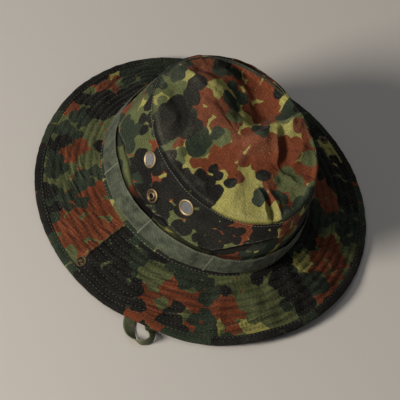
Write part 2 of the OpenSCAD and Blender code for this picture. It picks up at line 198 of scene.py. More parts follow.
# Angles in degrees, then the distance in millimetres and the lens's length in widths of a pixel.
AZIMUTH, ELEVATION, ROLL = -48.85, 54.49, 16.47
DISTANCE, FOCAL_PX, FRAME_PX, SHIFT = 3151.5, 3477.0, 400, (-0.0009, 0.0034)


def placed(name, data):
    """A new object in the scene."""
    made = bpy.data.objects.new(name, data)
    bpy.context.scene.collection.objects.link(made)
    return made


def make_camera():
    """Looks at the origin from a compass angle and an elevation, rolled about its line of sight."""
    data = bpy.data.cameras.new("camera")
    data.sensor_width = 36
    data.lens = FOCAL_PX / FRAME_PX * data.sensor_width
    data.shift_x, data.shift_y = SHIFT
    camera = placed("camera", data)
    camera.matrix_world = Matrix.Translation((0, 0, DISTANCE * MM))
    for angle, axis in ((ROLL, "Z"), (90 - ELEVATION, "X"), (AZIMUTH, "Z")):
        camera.matrix_world = Matrix.Rotation(math.radians(angle), 4, axis) @ camera.matrix_world
    bpy.context.scene.camera = camera


make_camera()

# ---- meshes


def closed_skin(outer, inner, keep=None, wrap=False):
    """Quads on both of two grids of points, and round every edge between them. Returns the points,
    the quads, and the row of the stacked grids that each point came from."""
    rows, cols = outer.shape[:2]
    across = cols if wrap else cols - 1
    keep = np.ones((rows - 1, across), bool) if keep is None else keep
    i, j = np.nonzero(keep)
    k = (j + 1) % cols
    a, b, c, d = i * cols + j, i * cols + k, (i + 1) * cols + k, (i + 1) * cols + j
    n = rows * cols
    quads = [np.stack([a, b, c, d], 1), np.stack([a, d, c, b], 1) + n]
    framed = np.zeros((rows + 1, across + 2), bool)
    framed[1:-1, 1:-1] = keep
    if wrap:
        framed[1:-1, 0], framed[1:-1, -1] = keep[:, -1], keep[:, 0]
    for (p, q), (di, dj) in (((a, b), (-1, 0)), ((b, c), (0, 1)), ((c, d), (1, 0)), ((d, a), (0, -1))):
        rim = ~framed[i + 1 + di, j + 1 + dj]
        p, q = p[rim], q[rim]
        quads.append(np.stack([q, p, p + n, q + n], 1))
    points = np.concatenate([outer.reshape(-1, 3), inner.reshape(-1, 3)])
    quads = np.concatenate(quads)
    used, quads = np.unique(quads, return_inverse=True)
    return points[used], facing_out(points[used], quads.reshape(-1, 4)), used


def facing_out(points, quads):
    """The quads turned so that their normals point out of the solid."""
    p = points[quads]
    size = (np.einsum("ij,ij->i", p[:, 0], np.cross(p[:, 1], p[:, 2]))
            + np.einsum("ij,ij->i", p[:, 0], np.cross(p[:, 2], p[:, 3]))).sum()
    return quads if size > 0 else quads[:, ::-1]


def piece(name, points, quads, material, sharp=35, **attributes):
    """A mesh object in metres from points in millimetres, smooth but for its sharp edges."""
    mesh = bpy.data.meshes.new(name)
    mesh.vertices.add(len(points))
    mesh.vertices.foreach_set("co", (points * MM).astype(np.float32).ravel())
    mesh.loops.add(quads.size)
    mesh.loops.foreach_set("vertex_index", quads.astype(np.int32).ravel())
    mesh.polygons.add(len(quads))
    mesh.polygons.foreach_set("loop_start", np.arange(0, quads.size, 4, dtype=np.int32))
    mesh.update(calc_edges=True)
    mesh.validate()
    mesh.shade_smooth()
    mesh.set_sharp_from_angle(angle=math.radians(sharp))
    for key, values in attributes.items():
        vector = np.ndim(values) == 2
        layer = mesh.attributes.new(key, "FLOAT_VECTOR" if vector else "FLOAT", "POINT")
        layer.data.foreach_set("vector" if vector else "value", np.asarray(values, np.float32).ravel())
    mesh.materials.append(material)
    return placed(name, mesh)


def joined(parts):
    """One list of points and one of quads from several."""
    points, quads, start = [], [], 0
    for p, q in parts:
        points.append(p)
        quads.append(q + start)
        start += len(p)
    return np.concatenate(points), np.concatenate(quads)


def sewn(name, rows, material):
    """One piece of several rows of stitches."""
    return piece(name, *joined(rows), material, 60)


def both(values, used):
    """Values of one grid, for the points of a closed skin between two such grids."""
    return np.concatenate([values.ravel()] * 2)[used]


def stacked(outside, inside, used):
    """The attributes of a closed skin's points from those of its two grids."""
    return {key: np.concatenate([outside[key], inside[key]])[used] for key in outside}


def on_hat(made, slot, *replaced):
    """The piece rides the hat, in the place of those CAD nodes if there are any."""
    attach(made, "hat")
    if replaced:
        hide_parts(*replaced)


def tube(line, across, up, profile):
    """A closed skin swept along a line: profile holds steps across and up at each ring."""
    rings = line[:, None] + across[:, None] * profile[:, :1] + up[:, None] * profile[:, 1:]
    rows, cols = rings.shape[:2]
    i, j = np.indices((rows - 1, cols)).reshape(2, -1)
    k = (j + 1) % cols
    around = np.stack([i * cols + j, i * cols + k, (i + 1) * cols + k, (i + 1) * cols + j], 1)
    steps = np.arange(1, cols // 2)
    cap = np.stack([steps - 1, steps, cols - 1 - steps, (cols - steps) % cols], 1)
    points, quads = rings.reshape(-1, 3), np.concatenate([around, cap[:, ::-1], cap + (rows - 1) * cols])
    return points, facing_out(points, quads)


STITCH_PITCH, STITCH_LEN, STITCH_R, STITCH_SIDES = 3.7, 2.1, 0.2, 6
# Places along one stitch, with its height there and its half-width, both in thread radii.
STITCH_SHAPE = np.array([[-0.5, -0.3, 0.0, 0.3, 0.5], [-1.2, 0.25, 0.6, 0.25, -1.2],
                         [0.55, 0.95, 1.05, 0.95, 0.55]])


def stitches(line, up, pitch=STITCH_PITCH, length=STITCH_LEN, radius=STITCH_R, closed=False, count=None):
    """A row of thread stitches along a line. Each one is a bead whose ends dive into the cloth.
    A count spreads that many evenly over the line's points, instead of at a pitch."""
    if closed:
        line, up = (np.concatenate([rows, rows[:1]]) for rows in (line, up))
    along = arc_length(line)
    if count:
        centre = np.interp((np.arange(count) + 0.5) / count * (len(line) - 1), np.arange(len(line)), along)
    else:
        count = max(1, int(along[-1] / pitch))
        centre = (np.arange(count) + 0.5) * along[-1] / count
    steps, heights, widths = STITCH_SHAPE
    at = centre[:, None] + steps * length
    spine, lift = (np.stack([np.interp(at, along, rows[:, k]) for k in range(3)], -1) for rows in (line, up))
    lift = unit(lift)
    side = unit(np.cross(unit(spine[:, -1] - spine[:, 0])[:, None], lift))
    spine = spine + lift * heights[:, None] * radius
    turns = np.arange(STITCH_SIDES)[:, None] * 2 * math.pi / STITCH_SIDES
    girth = widths[:, None, None] * radius
    rings = (spine[:, :, None] + side[:, :, None] * np.cos(turns) * girth
             + lift[:, :, None] * np.sin(turns) * girth * 0.8)
    per = len(steps) * STITCH_SIDES
    i, j = np.indices((len(steps) - 1, STITCH_SIDES)).reshape(2, -1)
    k = (j + 1) % STITCH_SIDES
    one = [np.stack([i, i, i + 1, i + 1], 1) * STITCH_SIDES + np.stack([j, k, k, j], 1)]
    end = per - STITCH_SIDES
    one += [np.array([[3, 2, 1, 0], [5, 4, 3, 0]]), np.array([[0, 1, 2, 3], [0, 3, 4, 5]]) + end]
    one = np.concatenate(one)[:, ::-1]
    quads = (one[None] + (np.arange(count) * per)[:, None, None]).reshape(-1, 4)
    return rings.reshape(-1, 3), quads


# ---- materials


def tree_of(name):
    material = bpy.data.materials.new(name)
    material.use_nodes = True
    tree = material.node_tree
    return material, tree, tree.nodes["Principled BSDF"]


def put(tree, node, inputs):
    """Sets each input of a node to its value, or links it if the value is a socket."""
    for key, value in inputs.items():
        if isinstance(value, bpy.types.NodeSocket):
            tree.links.new(value, node.inputs[key])
        else:
            node.inputs[key].default_value = value


def add(tree, kind, inputs, **settings):
    made = tree.nodes.new("ShaderNode" + kind)
    for key, value in settings.items():
        setattr(made, key, value)
    put(tree, made, inputs)
    return made


def attribute(tree, name, output="Fac"):
    return add(tree, "Attribute", {}, attribute_name=name, attribute_type="GEOMETRY").outputs[output]


def mixed(tree, factor, a, b):
    """The colour socket of a Mix node. The colours may be values or sockets."""
    a, b = (c if isinstance(c, bpy.types.NodeSocket) else (*c, 1) for c in (a, b))
    return add(tree, "Mix", {0: factor, 6: a, 7: b}, data_type="RGBA").outputs[2]


def ranged(tree, value, low, high, to_low=0.0, to_high=1.0):
    return add(tree, "MapRange", {"Value": value, "From Min": low, "From Max": high, "To Min": to_low,
                                  "To Max": to_high}).outputs[0]


def calculated(tree, operation, a, b):
    return add(tree, "Math", {0: a, 1: b}, operation=operation).outputs[0]


def times(tree, first, *others):
    for other in others:
        first = calculated(tree, "MULTIPLY", first, other)
    return first


def shaded(tree, colour, shade):
    """The colour made darker or lighter, by a factor."""
    return add(tree, "VectorMath", {0: colour, "Scale": shade}, operation="SCALE").outputs[0]


def noised(tree, where, scale, detail=2.0, rough=0.5):
    return add(tree, "TexNoise", {"Vector": where, "Scale": scale, "Detail": detail,
                                  "Roughness": rough}).outputs["Fac"]


def striped(tree, where, pitch, way, distortion, **detail):
    """Wavy stripes, 0 to 1, a pitch apart in metres."""
    inputs = {"Vector": where, "Scale": 2 * math.pi / (20 * pitch), "Distortion": distortion}
    inputs |= {key.replace("_", " "): value for key, value in detail.items()}
    return add(tree, "TexWave", inputs, wave_type="BANDS", bands_direction=way).outputs["Fac"]


def woven(tree, where, pitch):
    """Height of a plain weave, 0 to 1, with threads a pitch apart, in metres."""
    ways = (striped(tree, where, pitch, way, 0.6, Detail=1.0, Detail_Scale=0.4) for way in "XY")
    return times(tree, *ways)


def bumped(tree, shader, *layers):
    """Bump nodes in a chain, each (height socket, strength, distance in metres)."""
    last = None
    for height, strength, distance in layers:
        made = add(tree, "Bump", {"Height": height, "Strength": strength, "Distance": distance})
        if last:
            tree.links.new(last, made.inputs["Normal"])
        last = made.outputs["Normal"]
    tree.links.new(last, shader.inputs["Normal"])


def linear(*rgb):
    """Scene colour from 0-255 display colour."""
    return tuple((v / 255 / 12.92) if v / 255 < 0.04045 else ((v / 255 + 0.055) / 1.055) ** 2.4 for v in rgb)


YELLOW, OLIVE = linear(150, 144, 80), linear(84, 90, 55)
RUST, GREEN, BLACK = linear(110, 54, 30), linear(37, 47, 35), linear(17, 16, 16)
# The pale colour of faded cloth; the crown's fold edge is also mixed towards it as a painted highlight.
FADED = linear(140, 136, 118)
PRINTS = ("rust", "olive", "green", "black")
# The coarse grid of threads that shows through the print and the webbing, in metres.
GRID_PITCH = 0.0019


def cloth_look(tree, shader, colour, weave=0.00052, wear=0.65):
    """Fading, thread colour, wear on ridges, grime and painted shade in creases, a painted highlight on fold
    edges, and weave bump over a cloth's own colour.
    """
    where = attribute(tree, "cloth", "Vector")
    # The wear attribute: above 0 wear, and on the crown's fold edge a painted highlight; below 0 grime and
    # painted shade in creases and hollows.
    wear_and_shade = attribute(tree, "wear")
    weft = woven(tree, where, weave)
    grid = woven(tree, where, GRID_PITCH)
    slub = noised(tree, where, 700, 3.0, 0.65)
    fade = noised(tree, where, 28, 4.0, 0.6)
    crumple = noised(tree, where, 130, 4.0, 0.6)
    bare = times(tree, ranged(tree, slub, 0.4, 0.75), ranged(tree, grid, 0.1, 0.8, 0.3, 1.0))
    # Pale on ridges and edges from wear; on the crown's fold edge this is also a painted highlight.
    rubbed_and_highlit = times(tree, ranged(tree, wear_and_shade, 0.15, 1.0, 0.0, wear), ranged(tree, slub, 0.3, 0.7, 0.4, 1.0))
    for share in (ranged(tree, bare, 0.0, 1.0, 0.0, 0.13), ranged(tree, fade, 0.4, 0.8, 0.0, 0.04), rubbed_and_highlit):
        colour = mixed(tree, share, colour, FADED)
    threads = ranged(tree, grid, 0.0, 0.7, 0.84, 1.12)
    speckle = ranged(tree, slub, 0.3, 0.7, 0.68, 1.32)
    # Darker where the wear attribute is below 0: grime and painted shade in creases and hollows.
    dirt_and_painted_shade = ranged(tree, wear_and_shade, -1.0, 0.0, 0.2, 1.0)
    washed = ranged(tree, fade, 0.35, 0.65, 0.78, 1.16)
    put(tree, shader, {"Base Color": shaded(tree, colour, times(tree, threads, speckle, dirt_and_painted_shade, washed)),
                       "Roughness": ranged(tree, fade, 0.3, 0.7, 0.8, 0.95),
                       "Specular IOR Level": 0.12, "Sheen Weight": 0.03, "Sheen Roughness": 0.5})
    bumped(tree, shader, (crumple, 0.7, 0.002), (slub, 0.4, 0.0003), (grid, 0.35, 0.0002),
           (weft, 0.4, 0.00015))


def camouflage():
    """Five-colour print. Each colour's edge is where its own field crosses zero."""
    material, tree, shader = tree_of("camouflage")
    where = attribute(tree, "cloth", "Vector")
    bleed = ranged(tree, noised(tree, where, 1500, 2.0), 0.0, 1.0, -0.35, 0.35)
    colour = YELLOW
    for key, paint in zip(PRINTS, (RUST, OLIVE, GREEN, BLACK)):
        field = calculated(tree, "ADD", attribute(tree, key), bleed)
        colour = mixed(tree, ranged(tree, field, -0.25, 0.25), colour, paint)
    cloth_look(tree, shader, colour)
    return material


def plain_cloth(name, rgb, second, weave=0.00042, wear=0.5):
    material, tree, shader = tree_of(name)
    where = attribute(tree, "cloth", "Vector")
    colour = mixed(tree, ranged(tree, noised(tree, where, 60, 3.0), 0.35, 0.65), rgb, second)
    cloth_look(tree, shader, colour, weave, wear)
    return material


def webbing(name, rgb, second, rib=0.0011):
    """Ribbed narrow fabric: fine ribs across it and herringbone threads along it."""
    material, tree, shader = tree_of(name)
    where = attribute(tree, "cloth", "Vector")
    wear_and_shade = attribute(tree, "wear")
    ribs = striped(tree, where, rib, "X", 0.3, Detail=1.0)
    twill = striped(tree, where, rib / 1.3, "DIAGONAL", 0.8)
    coarse = striped(tree, where, GRID_PITCH, "DIAGONAL", 0.5)
    cloudy = noised(tree, where, 100, 6.0, 0.7)
    fuzz = noised(tree, where, 1400, 2.0, 0.7)
    colour = mixed(tree, ranged(tree, cloudy, 0.38, 0.62), rgb, second)
    colour = mixed(tree, ranged(tree, wear_and_shade, 0.1, 1.0, 0.0, 0.45), colour, FADED)
    shade = times(tree, ranged(tree, ribs, 0, 1, 0.72, 1.15), ranged(tree, coarse, 0, 1, 0.8, 1.12),
                  ranged(tree, fuzz, 0.3, 0.7, 0.8, 1.2), ranged(tree, wear_and_shade, -1.0, 0.0, 0.4, 1.0))
    put(tree, shader, {"Base Color": shaded(tree, colour, shade),
                       "Roughness": ranged(tree, cloudy, 0.3, 0.7, 0.7, 0.88), "Sheen Weight": 0.06})
    bumped(tree, shader, (fuzz, 0.3, 0.0001), (twill, 0.35, 0.00015), (ribs, 0.6, 0.0003))
    return material


def thread(name, rgb):
    """Twisted sewing thread: slightly glossy, darker in patches."""
    material, tree, shader = tree_of(name)
    where = add(tree, "TexCoord", {}).outputs["Object"]
    fine = noised(tree, where, 2500, 2.0, 0.6)
    age = noised(tree, where, 40, 3.0)
    colour = mixed(tree, ranged(tree, age, 0.35, 0.7), rgb, tuple(v * 0.62 for v in rgb))
    put(tree, shader, {"Base Color": shaded(tree, colour, ranged(tree, fine, 0.3, 0.7, 0.75, 1.15)),
                       "Roughness": ranged(tree, fine, 0.3, 0.7, 0.5, 0.75)})
    bumped(tree, shader, (fine, 0.4, 0.0001))
    return material


def metal(name, bright, dull, tarnish, rough):
    """Stamped metal with tarnish in patches, fine scratches and high spots abraded bright."""
    material, tree, shader = tree_of(name)
    where = add(tree, "TexCoord", {}).outputs["Object"]
    patches = noised(tree, where, 320, 5.0, 0.65)
    scratches = noised(tree, where, 5200, 2.0, 0.8)
    edge = add(tree, "NewGeometry", {}).outputs["Pointiness"]
    age = calculated(tree, "SUBTRACT", ranged(tree, patches, 0.35, 0.65, -tarnish, tarnish + 0.4),
                     ranged(tree, edge, 0.5, 0.56, 0.0, 0.7))
    total = calculated(tree, "ADD", ranged(tree, age, 0.0, 1.0, rough, rough + 0.3),
                       ranged(tree, scratches, 0.4, 0.7, 0.0, 0.1))
    put(tree, shader, {"Base Color": mixed(tree, ranged(tree, age, 0.0, 0.6), bright, dull),
                       "Metallic": 1.0, "Roughness": total})
    bumped(tree, shader, (patches, 0.2, 0.0002), (scratches, 0.12, 0.00004))
    return material


def worn_leather(name, rgb, second):
    material, tree, shader = tree_of(name)
    where = add(tree, "TexCoord", {}).outputs["Object"]
    cells = add(tree, "TexVoronoi", {"Vector": where, "Scale": 1100.0}).outputs["Distance"]
    cloudy = noised(tree, where, 120, 4.0, 0.6)
    edge = add(tree, "NewGeometry", {}).outputs["Pointiness"]
    colour = mixed(tree, ranged(tree, cloudy, 0.3, 0.7), rgb, second)
    colour = mixed(tree, ranged(tree, edge, 0.52, 0.6, 0.0, 0.5), colour, linear(150, 104, 68))
    put(tree, shader, {"Base Color": colour, "Roughness": ranged(tree, cloudy, 0.3, 0.7, 0.42, 0.62)})
    bumped(tree, shader, (cells, 0.35, 0.00025), (cloudy, 0.2, 0.0005))
    return material


CAMO = camouflage()
THREAD = thread("grey_thread", linear(128, 130, 116))
BRIM_THREAD = thread("brim_thread", linear(96, 94, 78))
DARK_THREAD = thread("dark_thread", linear(84, 90, 74))
TACK_THREAD = thread("tack_thread", linear(120, 124, 106))
BAND = webbing("band_webbing", linear(80, 87, 66), linear(34, 41, 29))
STRAP = webbing("strap_webbing", linear(80, 86, 56), linear(112, 116, 78), 0.0009)
BRASS = metal("bright_brass", linear(150, 134, 104), linear(92, 78, 56), 0.25, 0.5)
AGED = metal("aged_brass", linear(112, 96, 74), linear(38, 33, 28), 0.6, 0.45)
STEEL = metal("screen_wire", linear(156, 156, 158), linear(112, 112, 114), 0.1, 0.5)
SWEAT = plain_cloth("sweatband_cotton", linear(84, 88, 60), linear(70, 76, 52))
DARK_TAPE = plain_cloth("dark_tape", linear(40, 44, 38), linear(52, 56, 46))
LABEL = plain_cloth("label_satin", linear(206, 204, 192), linear(190, 188, 176), 0.0003, 0.1)
LEATHER = worn_leather("slider_leather", linear(74, 42, 26), linear(52, 30, 20))

# ---- the print

# Each colour lies over the ones before it: grid pitch, disc size and how much cloth it leaves bare.
DISCS = {"rust": (10.5, 8.2, 0.10), "olive": (10.5, 8.0, 0.12), "green": (10.0, 7.4, 0.05),
         "black": (10.5, 8.0, 0.04)}
# How firmly a patch turns its discs on or off, how far edges wander, and "not in any disc".
PATCH_FORCE, EDGE_WARP, FAR_OUTSIDE = 1.6, 1.3, -20.0


def discs(key, u, v, seed, patches, lean):
    """Centre, radius and presence of one colour's disc in each cell u, v of its grid."""
    pitch, size, bare = DISCS[key]
    level = PRINTS.index(key)
    cx = (u + 0.5 + 0.42 * noise(u * 7.31 + 0.5, v * 3.17, seed + level * 5)) * pitch
    cy = (v + 0.5 + 0.42 * noise(u * 2.93, v * 8.71 + 0.5, seed + level * 5 + 1)) * pitch
    score = noise(cx / 34, cy / 34, seed + level * 3.3) - bare + lean.get(key, 0)
    score += 0.25 * noise(u * 5.1, v * 9.7, seed + level)
    for px, py, reach, colour in patches:
        near = smooth(1.35 - np.hypot(cx - px, cy - py) / reach * 0.7)
        if colour == key:
            score += PATCH_FORCE * near
        elif colour == "yellow" or PRINTS.index(colour) < level:
            score -= PATCH_FORCE * near
    return cx, cy, size * (0.82 + 0.3 * noise(u * 4.7, v * 6.3 + 0.3, seed + level + 20)), score > 0


def print_fields(x, y, seed, patches, lean):
    """Each colour's distance inside its blobs, in mm, at flat cloth coordinates. A blob is a group
    of discs; patches (x, y, radius, colour) say where one colour is sure to show, and lean favours
    some colours everywhere."""
    x = x + EDGE_WARP * noise(x / 6, y / 6, seed)
    y = y + EDGE_WARP * noise(x / 6, y / 6, seed + 9)
    fields = {}
    for key in PRINTS:
        pitch = DISCS[key][0]
        i, j = (np.floor(w / pitch).astype(int) for w in (x, y))
        i0, j0 = i.min() - 1, j.min() - 1
        u, v = np.meshgrid(np.arange(i0, i.max() + 2), np.arange(j0, j.max() + 2), indexing="ij")
        cx, cy, size, present = discs(key, u, v, seed, patches, lean)
        best = np.full(x.shape, FAR_OUTSIDE)
        for di, dj in np.ndindex(3, 3):
            cell = i - i0 + di - 1, j - j0 + dj - 1
            inside = size[cell] - np.hypot(x - cx[cell], y - cy[cell])
            best = np.maximum(best, np.where(present[cell], inside, FAR_OUTSIDE))
        fields[key] = best
    return fields


def cloth_fields(x, y, seed, patches, wear, **lean):
    """All the attributes that the camouflage material reads."""
    made = print_fields(x, y, seed, patches, lean)
    made["cloth"] = xyz(x * MM, y * MM, 0.0)
    made["wear"] = wear
    return made


def plain_fields(x, y, wear):
    return {"cloth": xyz(x * MM, y * MM, 0.0), "wear": wear + 0 * x}


# ---- the chin strap

# Width and thickness, and the length in metres.
STRAP_W, STRAP_T, STRAP_LENGTH = 10.5, 1.0, 0.645
# The tape's centre line, as in the CAD source: x, y, z, then the compass angle and the rise of
# the tape's width.
STRAP_ROUTE = np.array([
    [-85, 4, 19.2, 270, 0], [-85.4, 4.5, 14.5, 270, 0], [-84, 5.5, 9.5, 275, 0],
    [-80, 7.5, 5, 285, 0], [-74, 10.5, 2, 292, 0], [-65, 15.5, 0.9, 298, 0],
    [-52, 23.5, 0.9, 302, 4], [-38, 32, 1.9, 303, 14], [-24, 40, 3.8, 300, 38],
    [-10, 46.5, 5.5, 285, 72], [4, 49.5, 5.8, 270, 88], [17, 46.5, 5.8, 235, 88],
    [23.5, 38.5, 5.4, 185, 70], [21, 30, 3.6, 150, 36], [13, 23.1, 2.3, 125, 6],
    [0, 14, 2.2, 125, 0], [-20, 0, 2.2, 125, 0], [-40, -14, 2.2, 125, 0],
    [-60, -28, 2.2, 125, 0], [-80, -42, 1.5, 125, 0], [-96, -53, 1, 127, 0],
    [-111, -61.5, 1, 124, 2], [-124, -68.5, 1.1, 133, 4], [-133, -76.5, 1.8, 152, 10],
    [-137.8, -85.5, 3, 172, 26], [-139.2, -93, 4.7, 192, 52], [-136.2, -99.3, 5.7, 222, 80],
    [-129.2, -101.3, 5.7, 105, 82], [-123.9, -97.6, 4.6, 125, 50],
    [-119.8, -91.5, 2, 132, 11], [-113, -82, 1.1, 131, 3], [-104, -71, 2.4, 126, 0],
    [-93, -58, 3, 124, 0], [-80, -42, 3.5, 125, 0], [-60, -28, 3.9, 125, 0],
    [-40, -14, 3.9, 125, 0], [-20, 0, 3.9, 125, 0], [0, 14, 3.9, 125, 0],
    [9, 18.5, 3.9, 115, 0], [18, 20, 3.6, 97, 0], [28, 19.5, 2, 84, 0],
    [39, 17.5, 0.9, 80, 0], [52, 14.5, 0.9, 78, 0], [64, 11.5, 1.3, 78, 0],
    [72.5, 9, 4, 82, 0], [78, 7, 9, 86, 0], [81, 5.5, 15, 90, 0],
    [82, 4.5, 21.5, 90, 0], [81.5, 4, 28, 90, 0],
])


def through(values, steps):
    """A smooth curve through rows of values, with that many steps between each two."""
    padded = np.concatenate([2 * values[:1] - values[1:2], values, 2 * values[-1:] - values[-2:-1]])
    t = (np.arange(steps) / steps)[:, None]
    spans = []
    for p, q, r, s in zip(padded, padded[1:], padded[2:], padded[3:]):
        spans.append(0.5 * (2 * q + (r - p) * t + (2 * p - 5 * q + 4 * r - s) * t ** 2
                            + (3 * q - p - 3 * r + s) * t ** 3))
    return np.concatenate(spans + [values[-1:]])


def make_strap():
    width = direction(STRAP_ROUTE[:, 3], STRAP_ROUTE[:, 4])
    line, wide = np.split(through(np.concatenate([STRAP_ROUTE[:, :3], width], 1), 8), 2, axis=1)
    run = unit(np.gradient(line, axis=0))
    across = unit(wide - run * (wide * run).sum(1, keepdims=True))
    up = np.cross(run, across)
    half_w, half_t = STRAP_W / 2, STRAP_T / 2
    face = np.linspace(-1, 1, 15)
    bead = half_t * (0.86 + 0.14 * np.abs(face) ** 6) * np.where(abs(face) > 0.99, 0.5, 1)
    profile = np.concatenate([np.stack([face * half_w, bead], 1),
                              np.stack([face[::-1] * half_w, -bead[::-1]], 1)])
    points, quads = tube(line, across, up, profile)
    u = np.repeat(arc_length(line), len(profile))
    v = np.tile(profile[:, 0], len(line))
    wear = np.where(abs(v) > half_w * 0.85, 0.9, 0.0)
    made = piece("chin_strap_tape", points, quads, STRAP, **plain_fields(u, v, wear))
    on_hat(made, "strap_tape", "chin_strap")


make_strap()

# ---- the brim

# The points round the whole brim, and from its root to its edge.
BRIM_COLS, BRIM_ROWS = 900, 80
# The rows of stitches round the brim, as shares of its width, and the pitch of their stitches.
ROW_FIRST, ROW_STEP, ROW_COUNT, BRIM_PITCH = 0.125, 0.115, 7, 3.8
ROW_PLACES = [ROW_FIRST + ROW_STEP * k for k in range(ROW_COUNT)]
# The angle of each side seam, and how far in from the edge the binding is stitched.
SIDE_SEAMS, BINDING_STITCH = {True: 181.5, False: -1.5}, 6.2
# How much further out the brim's edge is than its root, at the sides.
BRIM_SPREAD = 62


def node_centre(node):
    low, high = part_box(node)
    return np.array((low + high) / 2) / MM


def near_stud(points):
    """1 on the flat round a snap stud, fading to 0 at 11 mm from its centre."""
    offs = (points[..., :2] - node_centre("snap_stud_" + side)[:2] for side in SIDE.values())
    return np.clip(sum(smooth((11 - np.linalg.norm(off, axis=-1)) / 4.5) for off in offs), 0, 1)


def stitch_count(place):
    """How many stitches half of a row round the brim holds."""
    a = np.linspace(90, 270, 181)
    line = brim_mid(a, np.full(a.shape, place))
    return int(arc_length(line)[-1] / BRIM_PITCH)


STITCH_COUNTS = {place: stitch_count(place) for place in ROW_PLACES}


def brim_relief(a, r, under):
    """Height of the quilted cloth over the plain surface, and its wear with grime and painted shade in its
    valleys.
    """
    width = brim_len(a)
    arc = np.radians(a) * 0.5 * (BRIM_RX + BASE_RX) * (0.7 + 0.6 * r)
    valley = 0.0
    for place in ROW_PLACES:
        valley = valley + bell((r - place) * width, 1.1)
        phase = turn_from(a, 90) % 180 / 180 * STITCH_COUNTS[place]
        valley = valley - 0.45 * bell((r - place) * width, 1.3) * np.cos(phase * 2 * math.pi)
    channel = (r - ROW_FIRST) / ROW_STEP
    between = 0.5 - 0.5 * np.cos(channel * 2 * math.pi)
    side = 31.0 if under else 0.0
    lean = arc + 2.2 * np.sin(channel * math.pi) + 1.5 * noise(arc / 14, channel / 2, side)
    fine = noise(lean / 1.35, channel * 1.3, side + 1.7)
    middling = noise(lean / 4.2 + channel / 2, channel * 0.8, side + 6.3)
    gather = 0.6 + 0.5 * noise(arc / 38, r * 3, side + 12.1)
    pucker = (0.75 * fine + 0.85 * middling) * gather
    height = 0.55 * between - 0.4 * valley + pucker * (0.4 + 0.6 * between)
    # Lighter on raised puckers from wear; darker in low puckers, along the stitched valleys and at the
    # stitch holes as grime and painted shade.
    wear = np.clip(pucker * 0.8 - 0.2, -0.6, 0.5) - 0.5 * valley
    for seam in SIDE_SEAMS.values():
        s = np.radians(turn_from(a, seam)) * (BASE_RX + r * BRIM_SPREAD)
        height = height + np.where(s < 0, 0.75 * np.exp(s / 4.5), -0.75 * np.exp(-s / 1.6))
        # Lighter on the raised side of each side seam from wear, darker on its low side beside the step as
        # painted shade.
        wear = wear + np.where(s < 0, 0.6 * np.exp(s / 1.0), -1.0 * np.exp(-s / 1.8))
    held = smooth((1 - r) * width / BINDING_W - 0.75)
    roots = smooth(r * width / 3)
    calm = held * roots * (1 - near_stud(brim_mid(a, r)))
    return height * calm - 0.12 * (1 - held), wear * calm


def brim_wave(a, r):
    """The slow waves of a soft brim, none of them at the snaps."""
    free = smooth((np.minimum(abs(turn_from(a, 180)), abs(turn_from(a, 0))) - 14) / 25)
    wave = 0.5 + 0.5 * noise(a / 31 + 0.3, 0.5, 77.7)
    inside = smooth(r / 0.25) * smooth((1 - r) / 0.25) * (1 - near_stud(brim_mid(a, r)))
    hills = noise(a / 9.5 + r * 1.3, r * 2.6 + a / 70, 79.3) + 0.6 * noise(a / 4.3 + r, r * 4.2, 80.1)
    return 2.0 * wave * free * r ** 2 + 2.2 * hills * inside


def brim_surface(a, r, h):
    """A point h over the middle of the brim, with its waves."""
    return brim_at(a, r, h) + scaled(UP, brim_wave(a, r))


def cloth_face(a, r, under):
    """Points of the quilted cloth on one side of the brim."""
    way = -1 if under else 1
    return brim_surface(a, r, way * (HALF_BRIM_T + brim_relief(a, r, under)[0]))


# Where each colour is sure to show on the brim: angle, share of the brim's width, radius.
BRIM_PATCHES = {
    "rust": [(135, 0.4, 11), (168, 0.75, 13), (176, 0.35, 22), (156, 0.15, 9), (95, 0.6, 8),
        (207, 0.6, 9), (216, 0.4, 9), (227, 0.42, 9), (238, 0.5, 9), (213, 0.9, 8), (298, 0.6, 15),
        (306, 0.4, 10), (333, 0.45, 13), (112, 0.85, 9), (244, 0.65, 10), (325, 0.35, 10)],
    "olive": [(140, 0.22, 12), (147, 0.6, 10), (260, 0.45, 13), (250, 0.35, 8), (208, 0.3, 8),
        (120, 0.12, 10), (263, 0.8, 12), (102, 0.75, 7)],
    "yellow": [(251, 0.78, 7), (262, 0.66, 6), (287, 0.27, 8), (312, 0.55, 6), (350, 0.95, 15),
        (358, 0.85, 10), (237, 0.72, 6), (86, 0.8, 7), (257, 0.88, 6)],
    "black": [(186, 0.4, 16), (187, 0.7, 17), (196, 0.72, 15), (155, 0.68, 15), (96, 0.25, 15),
        (105, 0.42, 12), (345, 0.88, 13), (339, 0.6, 13), (278, 0.54, 9), (305, 0.16, 11),
        (270, 0.08, 12), (204, 0.76, 12), (221, 0.64, 6)],
    "green": [(192, 0.2, 12), (148, 0.2, 9), (140, 0.62, 10), (157, 0.5, 9), (84, 0.5, 14),
        (233, 0.68, 7), (256, 0.55, 5), (232, 0.2, 9), (283, 0.6, 8), (318, 0.6, 14), (120, 0.5, 13),
        (316, 0.15, 10), (232, 0.82, 9), (243, 0.88, 8)],
}


def on_the_flat(patches, place, shown=lambda a: True):
    """Rows of x, y, radius and colour on the flat cloth, for the patches whose angle is shown."""
    return [(*place(p, q), radius, colour) for colour, rows in patches.items()
            for p, q, radius in rows if shown(p)]


def brim_flat(a, r):
    p = brim_mid(a, r)
    return p[..., 0], p[..., 1]


def behind_seams(a):
    return abs(turn_from(a, 90)) < SIDE_SEAMS[True] - 90


